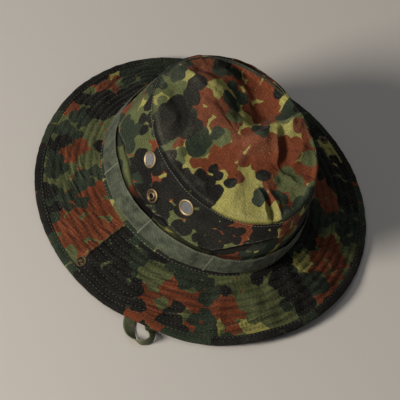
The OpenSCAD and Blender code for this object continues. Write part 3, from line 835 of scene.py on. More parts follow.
def brim_fields(a, r, under):
    """The print changes at the side seams, where two panels meet, and under the brim."""
    wear = brim_relief(a, r, under)[1]
    channel = (r - ROW_FIRST) / ROW_STEP
    shrink = 2.0 * noise(a * 0.5, channel * 1.1, 70.5) + 1.2 * noise(a * 1.3, channel * 1.7, 72.5)
    shift = 1.6 * noise(a * 0.7, channel * 1.1, 71.5) + 0.9 * noise(a * 1.5, channel * 2, 73.5)
    x, y = brim_flat(a + np.degrees(shrink / BRIM_RX), r + shift / brim_len(a))
    patches = {} if under else BRIM_PATCHES
    seed = 40.0 if under else 4.0
    lean = {"olive": 0.35, "green": 0.12, "black": 0.1}
    backs = on_the_flat(patches, brim_flat, behind_seams)
    fronts = on_the_flat(patches, brim_flat, lambda a: not behind_seams(a))
    one = cloth_fields(x, y, seed, backs, wear, **lean)
    two = cloth_fields(x, y, seed + 2.5, fronts, wear, **lean)
    back = behind_seams(a)
    made = {key: np.where(back[:, None] if two[key].ndim == 2 else back, one[key], two[key]) for key in one}
    bare = np.full(x.shape, -3.0)
    for px, py, reach, colour in backs + fronts:
        if colour == "yellow":
            bare = np.maximum(bare, reach * 1.5 - np.hypot(x - px, y - py))
    made["olive"] = np.maximum(made["olive"], np.minimum(-bare, -made["rust"]))
    return made


def bend_at_fold(made):
    """Bakes the piece's transform into its mesh."""
    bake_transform(made)


def half_angles(left, count):
    """Angles of one half of the brim, from the back to the front or the front to the back."""
    return np.linspace(90, 270, count) if left else np.linspace(-90, 90, count)


def make_brim(left):
    a, r = np.meshgrid(half_angles(left, BRIM_COLS // 2 + 1), np.linspace(0, 1, BRIM_ROWS))
    r = np.minimum(r - 0.3 / brim_len(a), 1 - 0.9 / brim_len(a))
    points, quads, used = closed_skin(cloth_face(a, r, False), cloth_face(a, r, True))
    fields = stacked(*(brim_fields(a.ravel(), r.ravel(), under) for under in (False, True)), used)
    made = piece("brim_cloth_" + SIDE[left], points, quads, CAMO, sharp=50, **fields)
    match_ends(made, a, r, used)
    bend_at_fold(made)
    plies = ("outer_cloth", "lining", "inner_cloth")
    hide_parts(*(f"brim_{part}_{ply}" for part in (SIDE[left], MIDDLE[left]) for ply in plies))


# The steps, in degrees and in shares of the width, that the slope of the cloth is taken over.
SLOPE_A, SLOPE_R = 0.4, 0.008


def match_ends(made, a, r, used):
    """Sets the normals where the two halves meet, so that the join doesn't show. They come from the
    slope of the cloth on both sides of the join, and the faces that close the join keep their own."""
    mesh = made.data
    wanted = {}
    for under in (False, True):
        for column in (0, a.shape[1] - 1):
            aa, rr = a[:, column], r[:, column]
            run = cloth_face(aa + SLOPE_A, rr, under) - cloth_face(aa - SLOPE_A, rr, under)
            rise = cloth_face(aa, rr + SLOPE_R, under) - cloth_face(aa, rr - SLOPE_R, under)
            normals = unit(np.cross(rise, run))
            normals = np.where((normals[:, 2:] < 0) == under, normals, -normals)
            rows = np.arange(len(aa)) * a.shape[1] + column + (a.size if under else 0)
            for new, normal in zip(np.searchsorted(used, rows), normals):
                wanted[int(new)] = normal
    loops = np.zeros((len(mesh.loops), 3), np.float32)
    corners = np.empty(len(mesh.loops), np.int32)
    mesh.loops.foreach_get("vertex_index", corners)
    faces = np.empty(len(mesh.polygons) * 3, np.float32)
    mesh.polygons.foreach_get("normal", faces)
    faces = np.repeat(faces.reshape(-1, 3), 4, axis=0)
    for i in np.nonzero(np.isin(corners, list(wanted)))[0]:
        normal = wanted[int(corners[i])]
        if abs(faces[i] @ normal) > 0.5 and abs(faces[i][1]) < 0.9:
            loops[i] = normal
    mesh.normals_split_custom_set(loops.tolist())


def brim_line(a, places, under):
    """A line of points on the cloth, and its normals, for a row of stitches."""
    return cloth_face(a, places, under), (-1 if under else 1) * brim_normal(a)


def make_brim_stitches(left):
    a = half_angles(left, 500)
    rows = [stitches(*brim_line(a, np.full(a.shape, place), under), length=1.7, count=STITCH_COUNTS[place])
            for under in (False, True) for place in ROW_PLACES]
    places = np.linspace(0.02, 0.87, 60)
    beside_seam = SIDE_SEAMS[left] - np.degrees(1.2 / (BASE_RX + places * BRIM_SPREAD))
    rows.append(stitches(*brim_line(beside_seam, places, False), pitch=2.7, length=1.5))
    made = sewn("brim_stitching_" + SIDE[left], rows, BRIM_THREAD)
    bend_at_fold(made)


# ---- the binding

# How far in from the brim's edge, and the height, round the outside of the folded tape.
BINDING_SHAPE = np.array([
    [7.5, 1.5], [7.45, 1.95], [7.2, 2.15], [6.6, 2.16], [6.2, 2.02], [5.8, 2.2], [5, 2.36], [3.8, 2.42],
    [2.6, 2.38], [1.5, 2.25], [0.6, 1.95], [-0.05, 1.45], [-0.5, 0.8], [-0.65, 0], [-0.5, -0.8],
    [-0.05, -1.45], [0.6, -1.95], [1.5, -2.2], [2.6, -2.3], [3.8, -2.3], [5, -2.28], [5.8, -2.2],
    [6.2, -2.02], [6.6, -2.16], [7.2, -2.15], [7.45, -1.95], [7.5, -1.5]])
# Millimetres of the brim's edge to a degree.
ARC_PER_DEGREE = 2.66


def binding_surface(a, d, h):
    """A point of the puckered tape, d in from the brim's edge and h over the brim's middle."""
    arc = a * ARC_PER_DEGREE
    pucker = 0.16 * (noise(arc / 3.1, d / 5, 50.1) + noise(arc / 9, d / 7, 51.1)) * smooth((7.4 - d) / 1.2)
    grown = h + np.sign(h) * pucker * smooth(abs(h))
    return brim_surface(a, 1 - (d - np.where(d < 0.5, pucker, 0)) / brim_len(a), grown)


def make_binding(left):
    a, k = np.meshgrid(half_angles(left, 400), np.arange(len(BINDING_SHAPE)))
    d, h = BINDING_SHAPE[k, 0], BINDING_SHAPE[k, 1]
    slim = BINDING_SHAPE - BINDING_T * shape_normals(BINDING_SHAPE)
    inner = brim_surface(a, 1 - slim[k, 0] / brim_len(a), slim[k, 1])
    points, quads, used = closed_skin(binding_surface(a, d, h), inner)
    # Lighter along the tape's folded edge from wear, darker along the stitch line as grime and painted
    # shade.
    wear = both(0.25 * bell(h, 1.0) - 0.6 * bell(d - BINDING_STITCH, 0.4), used)
    fields = cloth_fields(both(a * ARC_PER_DEGREE, used), both(arc_length(BINDING_SHAPE)[k], used), 60.0,
                          binding_patches(), wear)
    filled = np.maximum(fields["black"], -fields["green"])
    fields["black"] = np.where(fields["rust"] > 0, fields["black"], filled)
    made = piece("binding_tape_" + SIDE[left], points, quads, CAMO, sharp=60, **fields)
    bend_at_fold(made)
    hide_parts("binding_" + SIDE[left], "binding_" + MIDDLE[left])
    a = half_angles(left, 700)
    lines = [(level, binding_surface(a, 0 * a + BINDING_STITCH, 0 * a + level * 2.05)) for level in (1, -1)]
    made = sewn("binding_stitching_" + SIDE[left],
                [stitches(line, level * brim_normal(a)) for level, line in lines], BRIM_THREAD)
    bend_at_fold(made)


def binding_patches():
    """Rust where the tape passes the strap's loop, yellow-green by the right-hand snap, else dark."""
    dark = [(x, 6.0, 26, "black" if x % 3 else "green") for x in range(-240, 720, 47)]
    shown = [(214 * ARC_PER_DEGREE, 5.0, 16, "rust"), (-9 * ARC_PER_DEGREE, 6.0, 14, "yellow")]
    return [p for p in dark if min(abs(p[0] - q[0]) for q in shown) > 30] + shown


def shape_normals(shape):
    """Unit normals in the plane of an open outline, pointing out of the fold."""
    along = unit(np.gradient(shape, axis=0))
    turned = np.stack([-along[:, 1], along[:, 0]], 1)
    out = shape - np.array([4.0, 0.0])
    return np.where((turned * out).sum(1, keepdims=True) < 0, -turned, turned)


# ---- the crown

# Degrees between two columns of points round the crown's side.
CROWN_STEP = 0.72
# The hole cut in the cloth for a vent, and how near its edge a point is moved onto it.
VENT_CUT_R, VENT_CUT_REACH = VENT_HOLE_R + 0.6, 0.8
# The crown's side on the flat: millimetres round it to a degree, and its height.
MM_PER_DEGREE, WALL_HEIGHT = 1.5, 80.0
# The soft crown sags over the webbing: the fold's angle, and its share of the wall's height.
SAG_ANGLES = [112, 129, 144, 155, 166, 175, 182, 188, 194, 200, 208, 216, 225, 231, 240, 250, 268]
SAG_HEIGHTS = [0.42, 0.46, 0.57, 0.595, 0.53, 0.48, 0.46, 0.51, 0.56, 0.525, 0.50, 0.475, 0.50, 0.61, 0.74,
               0.78, 0.80]
# How far the cloth over the fold stands out and has slid down, and half the height of that step.
SAG_OUT, SAG_DOWN, SAG_STEP = 3.6, 3.6, 1.3
# The seams at the back and front of the crown, and the stitching's distance under the top seam.
WALL_SEAMS, SEAM_STITCH = (90, 270), 1.3
# The back right of the crown's top hangs outwards and down by this much.
SLUMP = np.array([4.3, 3.8, -8.0])


def vent_place(left, front):
    """Centre and normal of a vent on the middle surface of the wall."""
    a = (180 if left else 0) + VENT_ANGLE * (1 if left == front else -1)
    at = np.array(float(a)), np.array(VENT_F)
    return wall_at(*at, np.array(0.0)), wall_normal(*at)


VENTS = {(left, front): vent_place(left, front) for left in SIDE for front in SIDE}
SOCKETS = [node_centre("snap_socket_" + side) for side in SIDE.values()]


def near_hardware(points, reach=17, fade=8.5):
    """1 where the wall lies flat under a vent or a socket, fading to 0 at the reach."""
    total = 0.0
    for centre in [v[0] for v in VENTS.values()] + SOCKETS:
        total = np.maximum(total, smooth((reach - np.linalg.norm(points - centre, axis=-1)) / fade))
    return total


def band_top(a):
    return (BAND_RISE + BAND_W) / wall_len(a)


def sag_place(a):
    """The share of the wall's height at which the crown folds over, and how strong the fold is."""
    turn = a % 360
    strength = smooth((turn - 104) / 18) * smooth((276 - turn) / 16)
    return np.interp(turn, SAG_ANGLES, SAG_HEIGHTS), strength


def wall_relief(a, f):
    """How far the crown cloth stands out from its plain surface, how far it has slid down, and its wear with
    painted shade and highlight."""
    height = wall_len(a)
    over = (f - band_top(a)) * height
    seam = (1 - f) * height
    body = smooth(over / 14) * smooth(seam / 18)
    arc = np.radians(a) * 80
    wrinkle = (1.4 * noise(arc / 36, f * 3.2 + arc / 90, 21.0) + 1.0 * noise(arc / 15 + f * 3, f * 5, 22.0)
               + 0.5 * noise(arc / 6, f * 9 + arc / 19, 23.0) + 0.25 * noise(arc / 2.8, f * 24, 24.0))
    place, strength = sag_place(a)
    s = (f - place) * height
    middle = wall_mid(a, f)
    free = 1 - near_hardware(middle)
    loose = 1 - near_hardware(middle, 11.5, 5)
    tuck = strength * smooth((s + SAG_STEP) / (2 * SAG_STEP))
    past = np.maximum(s - SAG_STEP, 0)
    lip = tuck * SAG_OUT * np.exp(-past / 13) * loose * (0.6 + 0.4 * free)
    slide = tuck * SAG_DOWN * np.exp(-past / 11)
    piping = strength * (0.45 * bell(s - 1.2, 0.7) - 0.9 * bell(s + 4.4, 3.0))
    relief = (1.3 * body + wrinkle * body) * free + lip + piping
    relief = relief - 0.6 * bell(seam, 0.8) + 0.3 * bell(seam - 2.8, 1.6)
    relief = relief - 0.25 * bell(seam - SEAM_STITCH, 0.5)
    pleats = 0.6 * noise(a * 0.42, 0.5, 47.0) + 0.5 * noise(a * 0.95, 0.5, 49.0)
    relief = relief + pleats * smooth(seam / 4) * np.exp(-seam / 7) * free
    for centre in WALL_SEAMS:
        off = turn_from(a, centre) * MM_PER_DEGREE
        relief = relief + (0.35 * bell(off - 4, 3.2) - 0.5 * bell(off, 0.8)) * (1 - bell(seam, 3))
    # Painted shadow: darker under the fold's lip, where its overhang shades the cloth below.
    painted_lip_shadow = smooth((s + 12) / 5) * (s < 0.6)
    # Lighter along the fold's edge, from wear and as a painted highlight.
    edge = (0.42 + 0.45 * noise(arc / 3.5, 0.5, 25.0)) * bell(s - 1.9, 0.5)
    wear = strength * (edge - painted_lip_shadow) + 0.3 * bell(seam - 0.6, 0.5)
    # Painted shade just over the webbing's top edge; lighter on wrinkle crests from wear, darker in their
    # hollows as grime and painted shade.
    wear = wear - 0.9 * bell(over - 0.6, 2.2) + 0.15 * np.clip(wrinkle, -1, 1)
    return relief, slide, wear


def wall_surface(a, f, h):
    """A point of the crown's cloth, h from the middle of its thickness."""
    relief, slide, _ = wall_relief(a, f)
    drape = f - slide / wall_len(a)
    return wall_at(a, drape, h + relief) + seam_sway(a, f)


def seam_sway(a, f):
    """The top seam wanders a little from its plain ellipse, and takes the cloth along."""
    turn = a % 360
    slump = smooth((turn - 20) / 22) * smooth((104 - turn) / 22)
    side = 1.5 * noise(a / 13, 0.5, 81.0) + 0.7 * noise(a / 5.5, 0.5, 82.0)
    rise = 1.2 * noise(a / 17, 0.5, 83.0) + 0.5 * noise(a / 6, 0.5, 84.0)
    calm = 1 - 0.6 * smooth((34 - abs(turn_from(a, 180))) / 12)
    sway = scaled(xyz(cosd(a) * side, sind(a) * side, rise), calm)
    return scaled(sway + scaled(SLUMP, slump), f ** 3)


# Where each colour is sure to show on the crown's side: angle, share of its height, radius.
WALL_PATCHES = {
    "rust": [(182, 0.8, 7), (173, 0.7, 4), (219, 0.75, 5), (232, 0.9, 14), (236, 0.36, 9), (117, 0.6, 9),
        (150, 0.55, 5), (165, 0.5, 7), (97, 0.72, 9), (168, 0.45, 6), (222, 0.4, 7), (270, 0.8, 14)],
    "olive": [(130, 0.78, 9), (100, 0.5, 12), (114, 0.66, 8), (153, 0.85, 9), (141, 0.4, 8),
        (176, 0.44, 5), (200, 0.44, 7), (200, 0.42, 7), (208, 0.4, 8), (215, 0.39, 7), (191, 0.43, 7),
        (122, 0.7, 11), (106, 0.55, 10), (160, 0.42, 7)],
    "black": [(162, 0.8, 14), (194, 0.78, 16), (175, 0.9, 9), (210, 0.72, 20), (223, 0.58, 20),
        (245, 0.7, 18), (186, 0.55, 12), (205, 0.9, 14), (170, 0.65, 11), (200, 0.62, 14), (215, 0.1, 12),
        (240, 0.1, 14)],
    "green": [(132, 0.45, 12), (140, 0.6, 11), (150, 0.1, 12), (190, 0.08, 14), (255, 0.6, 14),
        (168, 0.6, 8)],
}


def wall_flat(a, f):
    return a * MM_PER_DEGREE, f * WALL_HEIGHT


def snap_to_hole(points, centre, normal):
    """Moves the points near a vent's cut onto its edge, so that the edge is round."""
    flat = points - centre
    off = flat - scaled(normal, flat @ normal)
    d = np.linalg.norm(off, axis=-1)
    near = (abs(d - VENT_CUT_R) < VENT_CUT_REACH) & (np.linalg.norm(flat, axis=-1) < 3 * VENT_CUT_R)
    moved = points + scaled(off, (VENT_CUT_R - d) / np.maximum(d, 1e-6))
    return np.where(near[..., None], moved, points)


def wall_rows(a):
    """Shares of the wall's height for one column of points, close together at the sag fold."""
    place = sag_place(a)[0]
    near = 3.4 / wall_len(a)
    low = np.linspace(0, place - near, 28)[:-1]
    mid = np.linspace(place - near, place + near, 20)[:-1]
    high = np.linspace(place + near, 1, 46)
    return np.concatenate([low, mid, high])


def make_crown_side(left):
    start = 90 if left else -90
    angles = np.arange(start, start + 180.01, CROWN_STEP)
    f = wall_rows(angles)
    a = np.broadcast_to(angles, f.shape)
    outer, inner = wall_surface(a, f, WALL_T / 2), wall_surface(a, f, -WALL_T / 2)
    middle = 0.25 * (outer[:-1, :-1] + outer[1:, 1:] + inner[:-1, 1:] + inner[1:, :-1])
    keep = np.ones(middle.shape[:2], bool)
    for centre, normal in (VENTS[left, front] for front in SIDE):
        keep &= np.linalg.norm(middle - centre, axis=-1) > VENT_CUT_R + 0.25
        outer, inner = (snap_to_hole(face, centre, normal) for face in (outer, inner))
    points, quads, used = closed_skin(outer, inner, keep)
    if left:
        patches = on_the_flat(WALL_PATCHES, wall_flat)
    else:
        patches = on_the_flat(WALL_PATCHES, lambda p, q: wall_flat(p - 360, q), lambda p: p > 240)
    x, y = wall_flat(a.ravel(), f.ravel())
    wear = wall_relief(a, f)[2].ravel()
    fields = stacked(cloth_fields(x, y, 8.0, patches, wear, olive=0.25, black=0.1),
                     cloth_fields(x, y, 28.0, [], 0 * wear, olive=0.25), used)
    made = piece("crown_wall_" + SIDE[left], points, quads, CAMO, sharp=50, **fields)
    on_hat(made, "camouflage_cotton", "crown_side_" + SIDE[left])


def wall_line(a, f):
    return wall_surface(a, f, WALL_T / 2), wall_normal(a, f)


def make_crown_stitches():
    a = np.linspace(0, 359.4, 1200)
    parts = [stitches(*wall_line(a, 1 - SEAM_STITCH / wall_len(a)), pitch=2.7, length=1.9, closed=True),
             stitches(*wall_line(a, 2.6 / wall_len(a)), closed=True)]
    f = np.linspace(0.03, 0.97, 90)
    for centre in WALL_SEAMS:
        for off in (1.2, 6.4):
            a = centre + off / MM_PER_DEGREE + 0 * f
            parts.append(stitches(*wall_line(a, f), pitch=2.7, length=1.9))
    on_hat(sewn("crown_wall_stitching", parts, THREAD), "thread")


# ---- the crown's top

TIP_COLS, TIP_ROWS = 480, 80
# The top's soft folds: from x, y to x, y, then width, height and how much steeper the far side is.
TIP_FOLDS = [
    (12, 64, 3, -12, 26, 5.0, 1.0), (20, -26, 66, -29, 12, 8.0, 2.2), (-6, -36, 20, -26, 9, 3.5, 1.6),
    (38, -44, 8, -72, 6, -3.4, 1.0), (-17, -99, -7, -70, 4.2, 3.6, 1.6), (-3, -99, 2, -72, 3.8, 3.0, 1.6),
    (-10, -99, -3, -76, 3.0, -3.4, 1.0), (-30, 60, -44, 8, 7, 2.4, 1.0), (-44, 8, -40, -40, 7, 1.8, 1.0),
    (-14, 62, -24, 22, 8, -3.2, 1.0), (4, 66, 10, 30, 8, 2.6, 1.0), (20, 62, 28, 36, 7, -2.6, 1.0),
    (40, 50, 44, 20, 10, 3.0, 1.0), (58, -2, 30, -8, 8, -4.5, 1.0), (34, -36, 20, -62, 5, 3.4, 2.0),
    (44, -30, 30, -60, 4, -2.6, 1.0), (52, -56, 30, -62, 6, 2.6, 1.0), (44, -82, 24, -66, 6, -2.2, 1.0),
    (-30, -62, -12, -50, 7, 1.8, 1.0), (-2, -20, -26, 12, 12, -1.8, 1.0), (24, -80, 16, -60, 4, 1.6, 1.0),
]

# Its broad hollows and swellings: x, y, the spread each way, then height.
TIP_DENTS = [(44, 6, 23, 26, -11.0), (-26, 20, 14, 26, 1.5), (-14, -66, 24, 18, 2.0),
             (58, 34, 18, 24, -8.0), (18, 36, 12, 22, 5.0)]


def tip_relief(x, y):
    """Height of the top's folds over its plain dome."""
    total = 0.0
    for x0, y0, across, along, height in TIP_DENTS:
        total = total + height * np.exp(-((x - x0) / across) ** 2 - ((y - y0) / along) ** 2)
    wx = x + 3 * noise(x / 18, y / 18, 33.0) + 1.0 * noise(x / 7, y / 7, 38.0)
    wy = y + 3 * noise(x / 18, y / 18, 34.0) + 1.0 * noise(x / 7, y / 7, 39.0)
    for x0, y0, x1, y1, width, height, steep in TIP_FOLDS:
        dx, dy = x1 - x0, y1 - y0
        length = math.hypot(dx, dy)
        t = ((wx - x0) * dx + (wy - y0) * dy) / length ** 2
        off = ((wx - x0) * dy - (wy - y0) * dx) / length
        fade = smooth((t + 0.35) / 0.5) * smooth((1.35 - t) / 0.6)
        spread = width * np.where(off > 0, 1.0, 1.0 / steep)
        crest = np.exp(1 - np.sqrt(1 + (2.2 * off / spread) ** 2))
        total = total + height * fade * crest
    ridged = 1 - 2 * abs(noise(x / 24 + y / 60, y / 24, 45.0))
    rough = (1.0 * noise(x / 30, y / 30, 35.0) + 0.9 * ridged + 0.7 * noise(x / 12, y / 12, 36.0)
             + 0.4 * noise(x / 5.5, y / 5.5, 37.0) + 0.16 * noise(x / 2.6, y / 2.6, 46.0))
    return 1.3 * total + 1.4 * rough


def tip_point(a, q, h):
    """A point of the top, at share q from its middle to its edge, h over its lower surface."""
    ones = np.ones(np.shape(a))
    rim = top_pt(a) + wall_normal(a, ones) * (WALL_T / 2) + seam_sway(a, ones)
    middle = xyz(TOP_X, TOP_Y, TOP_Z)
    flat = lerp(middle, rim, q)
    inset = (1 - q) * TOP_RX
    tight = smooth((75 - abs(turn_from(a, 160))) / 30)
    tucked = smooth(inset / (4 + 13 * tight))
    pleats = 0.7 * noise(a * 0.42, 0.5, 47.0) + 0.5 * noise(a * 0.9, 0.5, 48.0)
    seam = pleats * smooth(inset / 4) * np.exp(-inset / 7) - 0.9 * bell(inset, 0.8)
    rise = TOP_DOME * (1 - q ** 2) + tip_relief(flat[..., 0], flat[..., 1]) * tucked + seam
    return flat + scaled(UP, h + rise)


# Where each colour is sure to show on the top: x, y, radius.
TIP_PATCHES = {
    "rust": [(25, 48, 10), (53, 24, 14), (44, -4, 14), (1, 16, 13), (2, 40, 6), (7, -27, 9), (9, -12, 9),
        (8, -36, 11), (42, -66, 10), (24, -48, 10), (-20, -66, 5), (-31, -18, 7), (54, -46, 8),
        (-12, -24, 9), (26, 68, 10), (-14, -38, 7)],
    "black": [(-8, 43, 13), (-16, 28, 11), (-20, 50, 11), (-24, 16, 10), (-39, 28, 9), (-5, 69, 7),
        (-33, -44, 8), (-30, -33, 8)],
    "green": [(-12, 62, 9), (-37, 44, 7), (-15, 70, 8), (36, 45, 8), (35, 17, 7), (62, -14, 9),
        (-4, 0, 5), (15, -56, 5), (-11, -72, 7), (4, -79, 8), (8, 76, 10), (-22, -4, 8)],
    "olive": [(-16, 64, 13), (17, 29, 4), (54, -30, 7), (-36, 9, 9), (51, -66, 7), (17, -78, 8)],
    "yellow": [(18, 34, 9), (24, -7, 7), (40, -34, 9), (-10, 3, 5), (-32, -72, 13), (-20, -84, 9),
        (-12, -58, 9), (-4, -48, 6), (-40, -6, 4), (38, -56, 4), (-6, -90, 5)],
}


def make_tip():
    a, q = np.meshgrid(np.arange(TIP_COLS) * 360 / TIP_COLS, np.linspace(0.004, 1, TIP_ROWS) ** 0.85)
    points, quads, used = closed_skin(tip_point(a, q, WALL_T), tip_point(a, q, 0.1), wrap=True)
    x, y, _ = points.T
    inset = (1 - both(q, used)) * TOP_RX
    # Lighter a little inside the seam from wear, darker at the seam as grime and painted shade; lighter on
    # the folds' crests from wear, darker in the top's hollows as painted shade.
    wear = 0.25 * bell(inset - 3.4, 1.4) - 0.9 * bell(inset, 0.9) + 0.1 * np.clip(tip_relief(x, y), -2, 2.5)
    patches = on_the_flat(TIP_PATCHES, lambda p, q: (p, q))
    made = piece("crown_tip", points, quads, CAMO, sharp=50, **cloth_fields(x, y, 14.0, patches, wear))
    on_hat(made, "camouflage_cotton", "crown_top")


# ---- bands and tapes round the wall

# The band's radius for its flat coordinates, and the points of a line of stitches round the wall.
BAND_R, RING_STEPS = 92, 800


def loop_swell(a):
    """0 at each bar tack and 1 midway between two."""
    edges = np.array([TACK_ANGLES[-1] - 360, *TACK_ANGLES, TACK_ANGLES[0] + 360], float)
    turn = a % 360
    i = np.clip(np.searchsorted(edges, turn, side="right") - 1, 0, len(edges) - 2)
    return np.sin(np.pi * (turn - edges[i]) / (edges[i + 1] - edges[i])) ** 0.8


def wall_up(a, up, h):
    """A point of the plain wall by its height above the wall's foot, or below its top if negative."""
    return wall_at(a, up / wall_len(a) + (up < 0), h)


def plain_piece(name, outer, inner, material, u, v, rim=0.0, sharp=50, wrap=False):
    """A skin between two grids in a plain cloth, with its flat coordinates and the wear of its rim."""
    points, quads, used = closed_skin(outer, inner, wrap=wrap)
    u, v, rim = (both(values, used) for values in np.broadcast_arrays(u, v, rim))
    return piece(name, points, quads, material, sharp, **plain_fields(u, v, rim))


def ring_piece(name, low, high, h_in, h_out, material, wave, rows=16, cols=720, sway=0.0):
    """A flat tape round the wall, from height low to high. A negative height is from the top."""
    a, t = np.meshgrid(np.arange(cols) * 360 / cols, np.linspace(0, 1, rows))
    up = low + (high - low) * t + sway * band_sway(a, t)
    edge = 0.28 * (bell(t, 0.06) + bell(1 - t, 0.06))
    outer = wall_up(a, up, h_out + wave(a, t) - edge)
    inner = wall_up(a, up, h_in + wave(a, t) + edge)
    rim = 0.45 * (bell(t, 0.05) + bell(1 - t, 0.05))
    return plain_piece(name, outer, inner, material, np.radians(a) * BAND_R, up, rim, sharp=60, wrap=True)


def band_wave(a, t):
    """How far the webbing's loops stand off the crown between the bar tacks."""
    swell = loop_swell(a)
    ripple = 0.9 * noise(a / 9, t * 1.2, 41.0) + 0.5 * noise(a / 3.3, t * 1.6, 42.0)
    return 0.12 + swell * np.maximum(0.9 + ripple, 0) + 0.6 * t ** 4


def band_sway(a, t):
    """How far the soft webbing's top edge wanders up and down."""
    return t ** 2 * (1.0 * noise(a / 14, 0.5, 85.0) + 0.5 * noise(a / 5, 0.5, 86.0))


def make_band():
    band = ring_piece("band_webbing_loops", BAND_RISE, BAND_RISE + BAND_W, OUTSIDE, OUTSIDE + BAND_T,
                      BAND, band_wave, 20, sway=1.0)
    on_hat(band, "webbing", "foliage_band")
    a = np.linspace(0, 359.5, RING_STEPS)
    t = np.full(a.shape, 1 - 1.1 / BAND_W)
    up = BAND_RISE + BAND_W * t + band_sway(a, t)
    row = stitches(wall_up(a, up, OUTSIDE + BAND_T + band_wave(a, t)), wall_normal(a, up / wall_len(a)),
                   pitch=3.0, length=2.0, closed=True)
    on_hat(sewn("band_stitching", [row], THREAD), "thread")


# A bar tack's zigzag: its turns, its width, and the radius that it lies at.
TACK_TURNS, TACK_WIDTH, TACK_RADIUS = 34, 1.7, 95


def make_tacks():
    """Dense zigzag stitching across the webbing at each bar tack, running past its lower edge."""
    parts = []
    t = np.linspace(-0.1, 1.02, TACK_TURNS)
    up = BAND_RISE + BAND_W * t
    side = np.where(np.arange(TACK_TURNS) % 2, 1, -1) * TACK_WIDTH / 2
    height = OUTSIDE + BAND_T + 0.3 - 0.9 * smooth(-t / 0.05)
    for angle in TACK_ANGLES:
        a = angle + np.degrees(side / TACK_RADIUS)
        f = up / wall_len(a)
        line, rail = wall_at(a, f, height), wall_normal(a, f)
        for i in range(TACK_TURNS - 1):
            span = float(np.linalg.norm(line[i + 1] - line[i]))
            parts.append(stitches(line[i:i + 2], rail[i:i + 2], pitch=span, length=span * 1.15, radius=0.24))
    on_hat(sewn("bar_tack_threads", parts, TACK_THREAD), "thread", "band_bar_tacks")


def sweat_wave(a, t):
    """The sweatband leans inwards towards its top edge, and ripples there."""
    return 0.28 * noise(a / 8, t * 2, 43.0) * t - 0.3 * t


def make_inside():
    """The sweatband, the tape over the top seam, the blank label and the strap's sewn tabs."""
    sweat = ring_piece("sweatband_cloth", SWEAT_LOW, SWEAT_H, -OUTSIDE - SWEAT_T, -OUTSIDE, SWEAT,
                       sweat_wave, 22)
    on_hat(sweat, "sweatband_cotton", "sweatband")
    tape = ring_piece("seam_tape_cloth", -7.5, -1.5, -OUTSIDE - TAPE_T, -OUTSIDE, DARK_TAPE,
                      lambda a, t: 0 * a, 8)
    on_hat(tape, "dark_tape", "crown_seam_tape")
    a = np.linspace(0, 359.5, RING_STEPS)
    lines = []
    for up in (4.0, SWEAT_H - 2.5):
        t = (up - SWEAT_LOW) / (SWEAT_H - SWEAT_LOW)
        lines.append((up / wall_len(a), sweat_wave(a, t) - OUTSIDE - SWEAT_T))
    for down in (2.4, 6.4):
        lines.append((1 - down / wall_len(a), 0 * a - OUTSIDE - TAPE_T))
    rows = [stitches(wall_at(a, f, h), -wall_normal(a, f), closed=True) for f, h in lines]
    on_hat(sewn("inside_stitching", rows, DARK_THREAD), "thread")
    make_label()
    for left in SIDE:
        make_anchor(left)


def make_label():
    """A blank woven label."""
    a, t = np.meshgrid(np.linspace(72, 90, 50), np.linspace(0, 1, 30))
    up = 9 + 18 * t
    curl = -OUTSIDE - SWEAT_T - 0.07 * abs(noise(a / 5, t * 3, 44.0))
    made = plain_piece("label_blank", wall_up(a, up, curl - 0.62), wall_up(a, up, curl - 0.3), LABEL,
                       np.radians(a) * BAND_R, up)
    on_hat(made, "label_cloth", "size_label")


# Half the width and height of the tab at each end of the strap.
TAB_HALF_W, TAB_HALF_H = 6.0, 4.5


def make_anchor(left):
    """A folded tab with a box of stitches, just inside the sweatband."""
    angle = 180.0 if left else 0.0
    normal = wall_normal(np.array(angle), np.array(0.0))
    rise = unit(top_pt(angle) - base_pt(angle))
    wide = np.cross(normal, rise)
    centre = base_pt(angle) - normal * (OUTSIDE + SWEAT_T + 1.0) + rise * 4.0
    y, z = np.meshgrid(np.linspace(-TAB_HALF_W, TAB_HALF_W, 22), np.linspace(-TAB_HALF_H, TAB_HALF_H, 18))
    swell = 0.22 * (1 - (abs(y) / TAB_HALF_W) ** 6) * (1 - (abs(z) / TAB_HALF_H) ** 6)
    grid = centre + scaled(wide, y) + scaled(rise, z)
    outer = grid - scaled(normal, 0.35 + swell + 0.25 * bell(z - 4.1, 0.5))
    inner = grid + scaled(normal, 0.35 + swell * 0.3)
    made = plain_piece("strap_tab_" + SIDE[left], outer, inner, STRAP, y, z)
    on_hat(made, "dark_tape", "strap_anchor_" + SIDE[left])
    corners = np.array([[-4.6, -3.2], [4.6, -3.2], [4.6, 3.2], [-4.6, 3.2], [-4.6, -3.2], [4.6, 3.2]])
    path = np.array([p + (q - p) * t for p, q in zip(corners, corners[1:]) for t in np.linspace(0, 1, 6)])
    line = centre + path[:, :1] * wide + path[:, 1:] * rise - normal * 0.55
    row = stitches(line, -normal + 0 * line, pitch=1.9, length=1.6)
    on_hat(sewn("strap_tab_stitching_" + SIDE[left], [row], DARK_THREAD), "thread")


# ---- vents and snaps

# The screens' wire: its pitch, its radius, and how far it rises and dips in the weave.
WIRE_PITCH, WIRE_R, WIRE_LIFT = 0.72, 0.2, 0.17


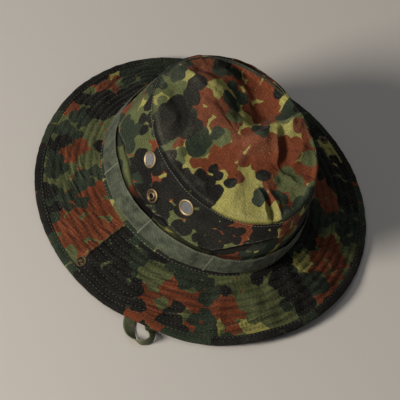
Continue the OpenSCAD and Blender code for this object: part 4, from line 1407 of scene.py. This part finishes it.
def make_screens():
    """A disc of woven wire in each vent: wires both ways, each over and under the others."""
    turns = np.arange(6) * math.pi / 3
    ring = np.stack([np.cos(turns), np.sin(turns)], 1) * WIRE_R
    reach = VENT_HOLE_R + 0.1
    count = int(reach / WIRE_PITCH)
    for (left, front), (centre, normal) in VENTS.items():
        east = unit(np.cross(UP, normal))
        north = np.cross(normal, east)
        parts = []
        for way, (run, step) in enumerate(((east, north), (north, east))):
            for k in range(-count, count + 1):
                half = math.sqrt(max(reach ** 2 - (k * WIRE_PITCH) ** 2, 0.2))
                s = np.arange(-half, half + 0.01, WIRE_PITCH / 4)
                lift = WIRE_LIFT * np.cos(np.pi * s / WIRE_PITCH) * (1 if (k + way) % 2 else -1)
                line = centre + step * (k * WIRE_PITCH) + scaled(run, s) + scaled(normal, VENT_SEAT + lift)
                parts.append(tube(line, step + 0 * line, normal + 0 * line, ring))
        place = SIDE[left] + ("_front" if front else "_back")
        made = piece("wire_mesh_" + place, *joined(parts), STEEL, 60)
        on_hat(made, "wire_mesh", f"vent_{place}_screen")


def paint_hardware():
    """The CAD's own metal parts keep their shape and take a detailed finish."""
    for name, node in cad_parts.items():
        if name.endswith(("eyelet", "washer")):
            finish = BRASS
        elif name.startswith("snap"):
            finish = AGED
        elif name == "strap_slider":
            finish = LEATHER
            soften = node.modifiers.new("soft_edges", "BEVEL")
            soften.width = 0.0004
            soften.segments = 3
        else:
            continue
        node.data.materials.clear()
        node.data.materials.append(finish)


# ---- floor and light


def make_stage():
    mesh = bpy.data.meshes.new("floor")
    corners = [(-3, -3, 0), (3, -3, 0), (3, 3, 0), (-3, 3, 0)]
    mesh.from_pydata(corners, [], [(0, 1, 2, 3)])
    floor = placed("floor", mesh)
    floor.location.z = -0.0003
    material, tree, shader = tree_of("floor_paper")
    put(tree, shader, {"Base Color": (0.62, 0.58, 0.54, 1), "Roughness": 0.9})
    mesh.materials.append(material)


def lamp(name, toward, distance, size, power, tint):
    """A round soft light, aimed just over the middle of the hat's base."""
    data = bpy.data.lights.new(name, "AREA")
    data.shape = "DISK"
    data.size = size
    data.energy = power
    data.color = tint
    made = placed(name, data)
    made.location = toward * distance + Vector((0, 0, 0.05))
    made.rotation_mode = "QUATERNION"
    made.rotation_quaternion = toward.to_track_quat("Z", "Y")


def make_lights():
    lamp("key", Vector(direction(172, 28)), 2.4, 0.7, 60, (1, 0.95, 0.86))
    lamp("fill", Vector(direction(140, 76)), 2.0, 1.2, 3.2, (1, 0.98, 0.94))
    world = bpy.data.worlds.new("world")
    world.use_nodes = True
    put(world.node_tree, world.node_tree.nodes["Background"], {"Color": (0.9, 0.94, 1, 1), "Strength": 0.13})
    bpy.context.scene.world = world
    bpy.context.scene.view_settings.view_transform = "Standard"


# ---- everything

for is_left in (True, False):
    make_brim(is_left)
    make_brim_stitches(is_left)
    make_binding(is_left)
    make_crown_side(is_left)
make_crown_stitches()
make_tip()
make_band()
make_tacks()
make_inside()
make_screens()
paint_hardware()
make_stage()
make_lights()
